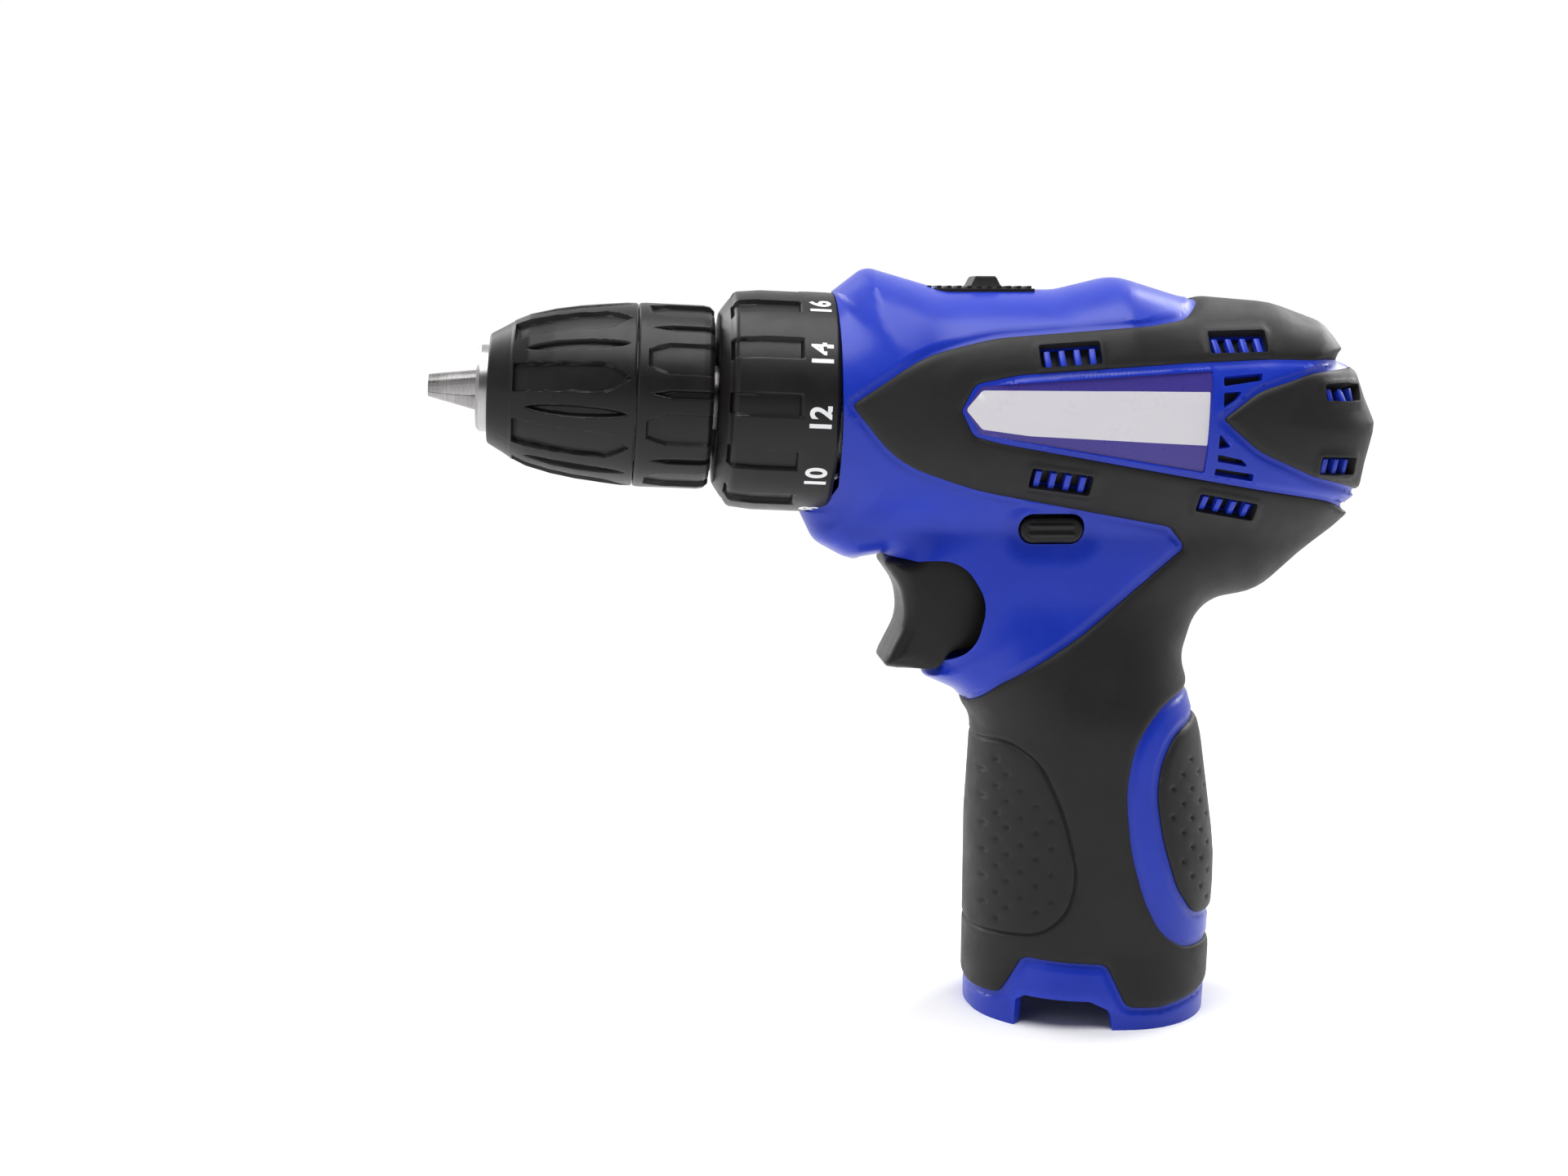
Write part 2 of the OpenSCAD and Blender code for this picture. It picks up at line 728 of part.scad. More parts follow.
module contacts() {
  color("gold") for (x = [-8, 1, 10]) {
    translate([x - 0.4, -4, 52.5]) cube([0.8, 8, 13]);
  }
}

module motor_leads() {
  color("firebrick") for (s = [-1, 1]) translate([11, s * 6, 98.6]) {
    cylinder(h = 9.3, r = 0.9);
    translate([-0.9, 0, 8.4]) rotate([0, 86, 0]) cylinder(h = 43.6, r = 0.9);
    translate([41.8, 0, 10.6]) cylinder(h = 12, r = 0.9);
  }
}

left_housing();
right_housing();
left_overmould();
right_overmould();
rear_cap();
left_nameplate();
right_nameplate();
housing_screws();
chuck_body();
chuck_jaw_1();
chuck_jaw_2();
chuck_jaw_3();
chuck_nut();
chuck_thrust_race();
chuck_front_sleeve();
chuck_rear_sleeve();
chuck_screw();
spindle();
spindle_bush();
spindle_clip();
clutch_ring();
clutch_nut();
clutch_spring();
clutch_washer();
clutch_pins();
clutch_retainer();
gearbox_nose();
gearbox_case();
ring_gear_front();
ring_gear_shift();
ring_gear_rear();
carrier_1();
carrier_2();
planet_1a();
planet_1b();
planet_1c();
planet_2a();
planet_2b();
planet_2c();
planet_3a();
planet_3b();
planet_3c();
motor_plate();
motor_can();
magnets();
motor_end_cap();
armature();
shift_fork();
speed_selector();
trigger();
trigger_spring();
switch_body();
direction_button();
lamp_lens();
terminal_block();
contacts();
motor_leads();
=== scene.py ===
import json
import math
import bpy
import numpy as np
from mathutils import Matrix, Vector
from mathutils.geometry import delaunay_2d_cdt

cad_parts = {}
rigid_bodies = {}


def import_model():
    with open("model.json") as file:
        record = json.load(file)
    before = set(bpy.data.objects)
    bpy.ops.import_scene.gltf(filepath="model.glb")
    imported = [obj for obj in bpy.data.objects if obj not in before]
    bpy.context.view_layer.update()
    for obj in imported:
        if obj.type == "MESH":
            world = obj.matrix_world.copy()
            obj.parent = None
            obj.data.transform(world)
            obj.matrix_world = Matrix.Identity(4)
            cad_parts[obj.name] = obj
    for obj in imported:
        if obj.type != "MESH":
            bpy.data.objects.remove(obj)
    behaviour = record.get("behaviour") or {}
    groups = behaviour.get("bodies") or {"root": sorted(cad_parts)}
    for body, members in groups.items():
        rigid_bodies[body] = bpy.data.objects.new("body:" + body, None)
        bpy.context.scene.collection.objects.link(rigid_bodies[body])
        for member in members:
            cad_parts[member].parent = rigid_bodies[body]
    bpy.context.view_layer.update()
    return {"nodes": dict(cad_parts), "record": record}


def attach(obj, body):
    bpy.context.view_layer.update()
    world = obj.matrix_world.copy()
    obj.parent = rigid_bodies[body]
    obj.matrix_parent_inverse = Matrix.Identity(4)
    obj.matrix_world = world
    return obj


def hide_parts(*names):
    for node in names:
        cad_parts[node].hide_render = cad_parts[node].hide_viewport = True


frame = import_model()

print("frame loaded:", len(frame["nodes"]), "CAD nodes")
mm = 0.001  # shapes are worked out in millimetres and turned to metres when a mesh is made


stageSet = {
    "cameraPlace": (-106.7, -473.2, 153.1), "yaw": 4.75, "pitch": 3.13, "roll": 0.22,
    "lens": 49.85, "shift": -0.10, "floorColour": (0.93, 0.93, 0.935), "floorHalf": 6,
    "skyFront": 0.07, "skyBack": 0.95, "skyTurn": (-0.75, 0.9),
    # name: place, aimed at, size, power
    "lamps": {"topSoft": ((-80, -160, 760), (-30, 0, 90), 620, 6.0),
              "frontFill": ((-620, -520, 300), (-40, 0, 100), 520, 0.6),
              "rearStrip": ((480, 360, 460), (20, 0, 110), 420, 3.6),
              "leftRim": ((-520, 420, 420), (-20, 0, 110), 420, 2.4)},
}


def linked(name, data):
    made = bpy.data.objects.new(name, data)
    bpy.context.scene.collection.objects.link(made)
    return made


def makeStage(s):
    camera = linked("camera", bpy.data.cameras.new("camera"))
    camera.data.lens, camera.data.sensor_width, camera.data.shift_y = s["lens"], 36, s["shift"]
    camera.data.clip_start, camera.data.clip_end = 0.02, 20
    yaw, pitch = math.radians(s["yaw"]), math.radians(s["pitch"])
    look = Vector((math.sin(yaw) * math.cos(pitch), math.cos(yaw) * math.cos(pitch), -math.sin(pitch)))
    turn = look.to_track_quat("-Z", "Y").to_matrix() @ Matrix.Rotation(math.radians(s["roll"]), 3, "Z")
    camera.matrix_world = Matrix.Translation(Vector(s["cameraPlace"]) * mm) @ turn.to_4x4()
    bpy.context.scene.camera = camera
    for name, (at, target, size, power) in s["lamps"].items():
        lamp = bpy.data.lights.new(name, "AREA")
        lamp.size, lamp.energy = size * mm, power
        aim = (Vector(target) - Vector(at)).to_track_quat("-Z", "Y")
        linked(name, lamp).matrix_world = Matrix.Translation(Vector(at) * mm) @ aim.to_matrix().to_4x4()
    world = bpy.data.worlds.new("softRoom")
    world.use_nodes = True
    sky = world.node_tree.nodes["Background"]
    sky.inputs["Color"].default_value = (1, 1, 1, 1)
    make, link = world.node_tree.nodes.new, world.node_tree.links.new
    path, seen = make("ShaderNodeLightPath"), make("ShaderNodeMapRange")
    place, split, side = make("ShaderNodeTexCoord"), make("ShaderNodeSeparateXYZ"), make("ShaderNodeMapRange")
    link(place.outputs["Generated"], split.inputs[0])
    link(split.outputs["Y"], side.inputs["Value"])  # dim in front of the drill, bright behind it
    side.interpolation_type = "SMOOTHSTEP"
    values = (*s["skyTurn"], s["skyFront"], s["skyBack"])
    for key, value in zip(("From Min", "From Max", "To Min", "To Max"), values):
        side.inputs[key].default_value = value
    link(path.outputs["Is Camera Ray"], seen.inputs["Value"])
    link(side.outputs["Result"], seen.inputs["To Min"])
    seen.inputs["To Max"].default_value = 1.0
    link(seen.outputs["Result"], sky.inputs["Strength"])
    bpy.context.scene.world = world
    bpy.context.scene.view_settings.view_transform = "Standard"
    mesh = bpy.data.meshes.new("floor")
    h = s["floorHalf"]
    mesh.from_pydata([(-h, -h, 0), (h, -h, 0), (h, h, 0), (-h, h, 0)], [], [(0, 1, 2, 3)])
    floor = linked("floor", mesh)
    return floor


floor = makeStage(stageSet)


# A node's output that adds Math nodes when it stands in a sum or a product
class Wire:
    def __init__(self, shader, socket):
        self.shader, self.socket = shader, socket

    def maths(self, operation, other):
        return self.shader.node("ShaderNodeMath", {"operation": operation}, {0: self, 1: other})

    def __add__(self, other):
        return self.maths("ADD", other)

    def __mul__(self, other):
        return self.maths("MULTIPLY", other)

    __radd__, __rmul__ = __add__, __mul__


class Shader:
    def __init__(self, name, **fixed):
        self.material = bpy.data.materials.new(name)
        self.material.use_nodes = True
        self.tree = self.material.node_tree
        self.skin = self.tree.nodes["Principled BSDF"]
        for key, value in fixed.items():
            self.skin.inputs[key.replace("_", " ")].default_value = value
        self.place = self.node("ShaderNodeTexCoord", {}, {}, "Object")

    def node(self, kind, settings, values, output=0):
        made = self.tree.nodes.new(kind)
        for key, value in settings.items():
            setattr(made, key, value)
        for key, value in values.items():
            if isinstance(value, Wire):
                self.tree.links.new(value.socket, made.inputs[key])
            else:
                made.inputs[key].default_value = value
        return Wire(self, made.outputs[output])

    def noise(self, scale, detail=3.0, roughness=0.55, source=None):
        return self.node("ShaderNodeTexNoise", {}, {
            "Vector": source or self.place, "Scale": scale, "Detail": detail, "Roughness": roughness})

    def fit(self, value, fromLow, fromHigh, low=0.0, high=1.0):
        return self.node("ShaderNodeMapRange", {"clamp": True}, {
            0: value, 1: fromLow, 2: fromHigh, 3: low, 4: high})

    def blend(self, factor, first, second):
        first, second = (v if isinstance(v, Wire) else (*v, 1.0) for v in (first, second))
        return self.node("ShaderNodeMix", {"data_type": "RGBA"}, {0: factor, 6: first, 7: second}, 2)

    def feed(self, **wires):
        for key, wire in wires.items():
            self.tree.links.new(wire.socket, self.skin.inputs[key.replace("_", " ")])
        return self.material

    def bump(self, height, strength, distance):
        return self.node("ShaderNodeBump", {}, {"Height": height, "Strength": strength, "Distance": distance})


# Moulded plastic: two close shades in soft clouds, fine spark-eroded grain, convex edges blended a little
# paler
plasticLooks = {
    # deep colour, light colour, roughness low and high, grain size, grain depth, coat
    "bluePlastic": ((0.007, 0.027, 0.37), (0.012, 0.038, 0.46), 0.28, 0.38, 2600, 0.05, 0.06),
    "blackPlastic": ((0.007, 0.006, 0.006), (0.012, 0.011, 0.011), 0.32, 0.44, 3200, 0.08, 0.0),
    "softGrip": ((0.010, 0.0095, 0.0098), (0.016, 0.0152, 0.0156), 0.46, 0.60, 5200, 0.22, 0.0),
    "casePlastic": ((0.022, 0.022, 0.026), (0.036, 0.036, 0.042), 0.45, 0.58, 2800, 0.10, 0.0),
    "whiteInk": ((0.72, 0.73, 0.75), (0.80, 0.81, 0.83), 0.40, 0.50, 3000, 0.04, 0.0),
    "labelWhite": ((0.655, 0.640, 0.680), (0.672, 0.657, 0.697), 0.27, 0.29, 900, 0.004, 0.10),
    "labelIndigo": ((0.050, 0.036, 0.245), (0.055, 0.040, 0.262), 0.27, 0.29, 900, 0.004, 0.10),
}


def makePlastic(name, look):
    deep, light, roughLow, roughHigh, grainSize, grainDepth, coat = look
    shader = Shader(name, Coat_Weight=coat, Coat_Roughness=0.18, Specular_IOR_Level=0.28)
    clouds = shader.noise(38.0, 4.0)
    smears = shader.noise(160.0, 5.0, 0.65)
    grain = shader.noise(grainSize, 2.0, 0.6)
    # convex edges (high pointiness) are blended towards a paler, brighter shade of the light colour
    edge = shader.node("ShaderNodeNewGeometry", {}, {}, "Pointiness")
    paleEdges = shader.fit(edge, 0.52, 0.60, 0.0, 0.35)
    colour = shader.blend(shader.fit(clouds + 0.35 * smears, 0.45, 0.95), deep, light)
    pale = tuple(min(1.0, 1.6 * c + 0.012) for c in light)
    colour = shader.blend(paleEdges, colour, pale)
    rough = shader.fit(smears + 0.5 * grain, 0.55, 0.95, roughLow, roughHigh)
    return shader.feed(Base_Color=colour, Roughness=rough,
                       Normal=shader.bump(grain + 0.25 * smears, grainDepth, 0.00012))


# Metals: fine turned marks run round the barrel axis
metalLooks = {
    # colour low, colour high, roughness low and high, size of the turned lines, line depth
    "machinedSteel": ((0.20, 0.19, 0.19), (0.36, 0.35, 0.35), 0.20, 0.34, 5200, 0.14),
    "turnedAlloy": ((0.34, 0.34, 0.34), (0.48, 0.48, 0.48), 0.26, 0.38, 5200, 0.14),
    "gearSteel": ((0.30, 0.30, 0.31), (0.42, 0.42, 0.43), 0.28, 0.42, 1800, 0.10),
    "screwSteel": ((0.10, 0.10, 0.11), (0.17, 0.17, 0.18), 0.28, 0.42, 2200, 0.12),
    "springSteel": ((0.36, 0.36, 0.37), (0.52, 0.52, 0.53), 0.20, 0.32, 2600, 0.08),
    "zinc": ((0.48, 0.49, 0.51), (0.62, 0.63, 0.65), 0.32, 0.46, 900, 0.10),
    "bronze": ((0.46, 0.26, 0.11), (0.60, 0.36, 0.17), 0.30, 0.44, 2400, 0.12),
    "winding": ((0.42, 0.16, 0.05), (0.70, 0.30, 0.12), 0.24, 0.40, 1500, 0.30),
    "contactBrass": ((0.62, 0.44, 0.16), (0.78, 0.58, 0.26), 0.22, 0.36, 2200, 0.08),
}


def makeMetal(name, look):
    low, high, roughLow, roughHigh, lineSize, depth = look
    shader = Shader(name, Metallic=1.0)
    tilt = math.radians(bodyShape["tilt"])
    centred = shader.node("ShaderNodeMapping", {"vector_type": "POINT"}, {
        "Vector": shader.place, "Location": (0, 0, -bodyShape["axisHeight"] * mm), "Rotation": (0, -tilt, 0)})
    stretched = shader.node("ShaderNodeMapping", {"vector_type": "POINT"}, {
        "Vector": centred, "Scale": (1.0, 0.04, 0.04)})
    lines = shader.noise(lineSize, 3.0, 0.7, stretched)
    clouds = shader.noise(220.0, 4.0)
    colour = shader.blend(shader.fit(lines + 0.6 * clouds, 0.5, 1.1), low, high)
    rough = shader.fit(clouds + 0.4 * lines, 0.45, 0.95, roughLow, roughHigh)
    return shader.feed(Base_Color=colour, Roughness=rough, Normal=shader.bump(lines, depth, 0.00006))


# Everything else: two shades in a fine grain
plainLooks = {
    # fixed inputs, grain size and detail, colour low, colour high, roughness low and high, grain depth
    "lens": ({"Transmission_Weight": 0.55, "IOR": 1.45}, 900, 3, (0.80, 0.82, 0.84), (0.92, 0.93, 0.94),
             0.08, 0.20, 0.05),
    "magnet": ({"Metallic": 0.6}, 1400, 4, (0.07, 0.07, 0.08), (0.12, 0.12, 0.13), 0.45, 0.6, 0.2),
    "lead": ({}, 700, 2, (0.42, 0.02, 0.02), (0.55, 0.035, 0.03), 0.38, 0.5, 0.08),
}


def makePlain(name, look):
    fixed, size, detail, low, high, roughLow, roughHigh, depth = look
    shader = Shader(name, **fixed)
    grain = shader.noise(size, detail)
    return shader.feed(Base_Color=shader.blend(shader.fit(grain, 0.3, 0.7), low, high),
                       Roughness=shader.fit(grain, 0.3, 0.7, roughLow, roughHigh),
                       Normal=shader.bump(grain, depth, 0.0001))


# Paper near the drill, a lit sweep further off
def makePaper(name, colour):
    paper = Shader(name, Emission_Strength=1.0, Specular_IOR_Level=0.1)
    tooth = paper.noise(60.0, 6.0, 0.6)
    away = paper.node("ShaderNodeVectorMath", {"operation": "LENGTH"}, {"Vector": paper.place}, "Value")
    away = paper.fit(away, 0.15, 0.45)
    near = paper.blend(paper.fit(tooth, 0.3, 0.7), colour, [c + 0.01 for c in colour])
    return paper.feed(Base_Color=paper.blend(away, near, (0, 0, 0)),
                      Emission_Color=paper.blend(away, (0, 0, 0), (1, 1, 1)),
                      Roughness=paper.fit(tooth, 0.3, 0.7, 0.75, 0.85),
                      Normal=paper.bump(tooth, 0.02, 0.0002))


bodyShape = {"tilt": 2.4, "axisHeight": 131.0, "wall": 2.4, "softDepth": 1.25, "gridStep": 1.25,
             "outlineStep": 0.9, "partingGap": 0.05}

bodyCorners = [(-57, 157.8, 0.5), (-50, 163.2, 4), (-33, 158.3, 12), (-8, 158.4, 14),
               (5, 161.6, 12), (20, 157.0, 16), (40, 155.4, 18), (51, 151.4, 6), (55.8, 145.8, 0.8),
               (54.6, 143.8, 0.6), (57.4, 142.6, 0.6), (58.8, 140.4, 0.8), (62.6, 129.6, 2.5),
               (60.2, 115.1, 0.8), (58.8, 112.6, 0.6), (57.0, 111.2, 0.5), (58.7, 109.2, 2), (47.6, 100.6, 8),
               (38, 92.2, 14), (24.5, 90, 12), (20.4, 77.5, 9), (25, 61, 30), (28.6, 34, 60),
               (26.6, 0, 0), (-26.4, 0, 0), (-26.1, 42, 60), (-24.8, 64, 8), (-29.5, 70.2, 6),
               (-37, 73.6, 1), (-35.2, 76.6, 0.6), (-27.4, 80.6, 9), (-24.6, 91, 9), (-30, 100, 8),
               (-46, 100.4, 3), (-53.5, 99.2, 6), (-61, 103.2, 6), (-64.4, 110.4, 0.8),
               (-58.4, 113.4, 1), (-57, 116, 0.5)]
openCorners = {23, 29, 30, 31, 32, 36, 37, 38}  # the edges after these corners are open ends, not silhouettes


def fillet(before, corner, after, radius):
    a, b = before - corner, after - corner
    ua, ub = a / np.linalg.norm(a), b / np.linalg.norm(b)
    half = math.acos(max(-1.0, min(1.0, float(ua @ ub)))) / 2
    run = min(radius / math.tan(half), 0.48 * np.linalg.norm(a), 0.48 * np.linalg.norm(b))
    reached = run * math.tan(half)
    centre = corner + (ua + ub) / np.linalg.norm(ua + ub) * reached / math.sin(half)
    start, end = corner + ua * run - centre, corner + ub * run - centre
    sweep = math.pi - 2 * half
    if start[0] * end[1] - start[1] * end[0] < 0:
        sweep = -sweep
    count = max(2, math.ceil(abs(math.degrees(sweep)) / 8))
    turns = [sweep * i / count for i in range(count + 1)]
    return [centre + np.array([start[0] * math.cos(w) - start[1] * math.sin(w),
                               start[0] * math.sin(w) + start[1] * math.cos(w)]) for w in turns]


# Corners (x, z, fillet) to evenly spaced points, with a flag on each edge that is an open end
def rounded(corners, step=bodyShape["outlineStep"], openAfter=()):
    points, flags = [], []
    for i, (x, z, radius) in enumerate(corners):
        here = np.array([x, z], float)
        before = np.array(corners[i - 1][:2], float)
        after = np.array(corners[(i + 1) % len(corners)][:2], float)
        arc = [here] if radius <= 0.05 else fillet(before, here, after, radius)
        for k, point in enumerate(arc):
            points.append(point)
            isLast = k == len(arc) - 1
            flags.append(i in openAfter if isLast else i in openAfter and (i - 1) in openAfter)
    spaced, spacedFlags = [], []
    for i, point in enumerate(points):
        following = points[(i + 1) % len(points)]
        parts = max(1, math.ceil(np.linalg.norm(following - point) / step))
        for k in range(parts):
            spaced.append(point + (following - point) * k / parts)
            spacedFlags.append(flags[i])
    return np.array(spaced), np.array(spacedFlags)


# Least distance from each point to a set of straight edges
def distanceTo(points, starts, ends):
    run = ends - starts
    lengths = np.maximum((run ** 2).sum(1), 1e-12)
    best = np.full(len(points), 1e9)
    for i in range(0, len(points), 3000):
        offset = points[i:i + 3000, None, :] - starts[None]
        t = np.clip((offset * run[None]).sum(2) / lengths, 0, 1)
        gap = offset - t[..., None] * run[None]
        best[i:i + 3000] = np.hypot(gap[..., 0], gap[..., 1]).min(1)
    return best


def toLoop(points, loop):
    return distanceTo(points, loop, np.roll(loop, -1, axis=0))


def inside(points, loop):
    x, z = points[:, 0][:, None], points[:, 1][:, None]
    x0, z0 = loop[:, 0][None], loop[:, 1][None]
    x1, z1 = np.roll(loop[:, 0], -1)[None], np.roll(loop[:, 1], -1)[None]
    with np.errstate(divide="ignore", invalid="ignore"):
        crosses = ((z0 > z) != (z1 > z)) & (x < (x1 - x0) * (z - z0) / (z1 - z0) + x0)
    return crosses.sum(1) % 2 == 1


def ease(low, high, value):
    t = np.clip((value - low) / (high - low), 0, 1)
    return t * t * (3 - 2 * t)


def softMax(a, b, reach):
    share = np.clip(0.5 + 0.5 * (a - b) / reach, 0, 1)
    return b + (a - b) * share + reach * share * (1 - share)


tiltCos, tiltSin = math.cos(math.radians(bodyShape["tilt"])), math.sin(math.radians(bodyShape["tilt"]))


# Distance along the barrel axis and height above it, of a point seen from the side
def alongBarrel(x, z):
    up = z - bodyShape["axisHeight"]
    return x * tiltCos - up * tiltSin, x * tiltSin + up * tiltCos


# A point given along the barrel, across it and above its axis, in the drill's own axes
def fromBarrel(s, across, up):
    return np.stack([s * tiltCos + up * tiltSin, across + 0 * s,
                     bodyShape["axisHeight"] - s * tiltSin + up * tiltCos], -1)


bodyOutline, bodyOpen = rounded(bodyCorners, openAfter=openCorners)
silhouetteStart = bodyOutline[~bodyOpen]
silhouetteEnd = np.roll(bodyOutline, -1, axis=0)[~bodyOpen]


# half widths of the body, with the steps that widen or narrow them: (gain, from, to)
crossShape = {"barrel": 25.3, "barrelSteps": [(1.4, -57, -40), (-3.2, 8, 44), (-4.5, 34, 66)],
              "barrelDepth": 29.0, "grip": 22.4, "gripSteps": [(1.5, 18, 3), (-5.4, 62, 92)], "guard": 15.4,
              "backNarrow": 3.0, "blend": 5.0, "barrelReach": (25.0, -11.0), "gripReach": (21.0, -12.0)}


def stepped(base, steps, value):
    for gain, low, high in steps:
        base = base + gain * ease(low, high, value)
    return base


# How far the body's surface stands out from the parting plane at (x, z)
def halfWidth(points):
    c, (x, z) = crossShape, points.T
    s, up = alongBarrel(x, z)
    barrel = stepped(c["barrel"], c["barrelSteps"], s)
    barrel = barrel * np.sqrt(np.maximum(1 - (np.minimum(up, 0) / c["barrelDepth"]) ** 2, 0.0))
    grip = stepped(c["grip"], c["gripSteps"], z)
    low = grip + (c["guard"] - grip) * ease(-22, -38, x) * ease(60, 76, z)
    low = low - c["backNarrow"] * ease(24, 44, x) * ease(80, 95, z)
    low = low * (1 - 0.75 * ease(-13, -3, up))
    full = softMax(barrel, low, c["blend"])
    reach = c["barrelReach"][0] + c["barrelReach"][1] * ease(25, 62, s)
    lowReach = c["gripReach"][0] + c["gripReach"][1] * ease(-20, -38, x)
    reach = reach + (lowReach - reach) * ease(112, 98, z)
    rise = np.minimum(distanceTo(points, silhouetteStart, silhouetteEnd) / reach, 1.0)
    return full * np.sqrt(np.maximum(1 - (1 - rise) ** 2, 0))


areaCorners = {
    "soft": [(30, 175, 0), (24.4, 157.6, 2), (17.5, 152, 8), (8.6, 150.6, 10), (-25, 147.9, 40),
             (-40.2, 144.2, 30), (-55.3, 133.9, 1.0), (-45.6, 121.6, 22), (-28.6, 115.6, 60),
             (0.5, 110.0, 60), (14.2, 107.4, 3.2), (18.2, 102.9, 1.5), (-4.6, 84.1, 60),
             (-22.2, 73.4, 10), (-28.5, 67.2, 0), (-40, 60, 0), (-40, 5, 0), (-26.6, 5.2, 2),
             (-21.6, 6.2, 2.5), (-17.2, 15, 2.5), (0.4, 13.8, 2.5), (4.6, 4.9, 2.5), (12, 4.4, 4),
             (27, 6.2, 0), (40, 6.2, 0), (90, 60, 0), (90, 175, 0)],
    "window": [(-32.4, 132.8, 1.0), (-29.4, 138.4, 3.0), (-20, 140.3, 20), (15.5, 142.8, 60), (35, 143.7, 60),
               (57, 143.2, 0), (90, 142, 0), (90, 109, 0), (58, 109.9, 0), (50.1, 112.5, 20), (33, 115.4, 60),
               (-24, 125.8, 20), (-29.8, 127.4, 2.5)],
    "cap": [(23.6, 130.9, 0.6), (31.6, 136.8, 14), (44.5, 140.6, 18), (56, 141.6, 0), (75, 142.4, 0),
            (75, 114, 0), (60.2, 114.3, 0), (51.4, 116.6, 0), (45, 118.2, 18), (32, 123.8, 16)],
    "label": [(-31.8, 133, 1.0), (-28.4, 138.0, 1.5), (21.6, 141.3, 0.5), (19.9, 119.4, 0.5),
              (-28.4, 127.7, 1.2)],
    "white": [(-31.5, 133, 0.9), (-28.0, 137.1, 1.2), (20.8, 136.8, 0.3), (20.2, 125.3, 0.3),
              (-17.9, 127.4, 8), (-28.0, 128.8, 1.2)],
    "inlay": [(45, 73, 0), (22.5, 71.9, 3), (13.2, 69.2, 14), (6.6, 62, 16), (4.3, 51.5, 30), (5.6, 38, 40),
              (8.8, 26.5, 30), (13, 19.4, 14), (18.6, 16.1, 7), (28, 15.2, 0), (45, 14, 0), (45, 21, 0),
              (28, 22, 0), (21, 23, 5), (16.4, 29.5, 14), (12.9, 40, 40), (11.3, 50.5, 20),
              (12.9, 57.8, 14), (16.6, 62.8, 8), (22.5, 64.9, 3), (45, 66, 0)],
    "frontPad": [(-40, 60.2, 0), (-24.5, 60.3, 2), (-20.0, 61.2, 8), (-13.8, 57.2, 12), (-9.2, 47, 40),
                 (-6.0, 34, 16), (-7.6, 25.2, 12), (-13.6, 20.0, 9), (-26.5, 18.6, 0), (-40, 18.6, 0)],
    "notch": [(-19, -2, 0), (-18.5, 5.7, 1), (-16.8, 6.9, 1), (-3.4, 6.3, 2), (1.0, 4.2, 1.5), (2.0, -2, 0)],
}
latticeCells = [[(23.8, 139.9), (32.6, 140.7), (32.4, 139.1), (23.7, 137.9)],
                [(23.6, 136.6), (28.0, 136.9), (26.3, 135.0), (23.5, 133.2)],
                [(22.7, 128.1), (25.4, 125.0), (22.6, 124.6)],
                [(22.5, 123.5), (27.9, 122.3), (29.9, 120.6), (22.6, 121.9)],
                [(22.3, 120.5), (31.0, 119.1), (30.9, 117.5), (22.1, 119)]]
# vents: centre x, centre z, length, height, lean in degrees, on the cap or not
vents = [(-9.2, 144.3, 13.2, 4.5, 4.0, False), (27.8, 146.9, 13.2, 4.4, 1.5, False),
         (-10.9, 118.0, 13.4, 4.2, -8.0, False), (25.8, 112.2, 13.6, 3.8, -10.5, False),
         (51.4, 136.2, 9.4, 3.6, 0.0, True), (50.2, 120.8, 9.0, 3.8, -3.0, True)]
screwPlaces = [(-56.8, 105.4), (-45, 156), (6, 154.4), (50.5, 144.2), (46, 104), (35, 98), (14.6, 76),
               (-20, 68.6)]
buttonPlace = {"x": -11.2, "z": 106.8, "half": 6.8, "radius": 2.75, "play": 0.35, "out": 17.3, "edge": 0.7}


# A pill-shaped outline round (x, z)
def slotOutline(x, z, half, radius, count=10):
    turns = [math.pi * i / count for i in range(count + 1)]
    right = [(x + half - radius + radius * math.sin(w), z + radius * math.cos(w)) for w in turns]
    left = [(x - half + radius - radius * math.sin(w), z - radius * math.cos(w)) for w in turns]
    return np.array(right + left)


def leaningBox(x, z, length, height, lean):
    c, s = math.cos(math.radians(lean)), math.sin(math.radians(lean))
    corners = [(-length / 2, height / 2, 0.6), (length / 2, height / 2, 0.6),
               (length / 2, -height / 2, 0.6), (-length / 2, -height / 2, 0.6)]
    return rounded([(x + a * c - b * s, z + a * s + b * c, r) for a, b, r in corners], 0.7)[0]


areas = {name: rounded(corners)[0] for name, corners in areaCorners.items()}
holes = {"vent%d" % i: leaningBox(*v[:5]) for i, v in enumerate(vents)}
for i, cell in enumerate(latticeCells):
    holes["cell%d" % i] = rounded([(x, z, 0.3) for x, z in cell], 0.7)[0]
holes["button"] = slotOutline(buttonPlace["x"], buttonPlace["z"], buttonPlace["half"] + buttonPlace["play"],
                              buttonPlace["radius"] + buttonPlace["play"])
wells = {"well%d" % i: slotOutline(x, z, 2.7, 2.7, 12) for i, (x, z) in enumerate(screwPlaces)}

# the pits of the two grip pads, in columns: x, height of the top one, pitch, count
pitColumns = [(-23.9, 53.8, 5.75, 6), (-21.6, 56.7, 5.75, 7), (-19.8, 53.9, 5.75, 6), (-17.3, 50.8, 5.75, 5),
              (-14.4, 47.9, 5.7, 5), (-11.4, 45.0, 5.8, 4), (14.9, 51.2, 6.0, 2), (17.5, 53.9, 6.2, 4),
              (19.8, 56.6, 6.2, 5), (22.2, 53.3, 6.1, 5), (24.3, 49.8, 6.0, 5)]
pits = np.array([(x, top - pitch * k) for x, top, pitch, count in pitColumns for k in range(count)])
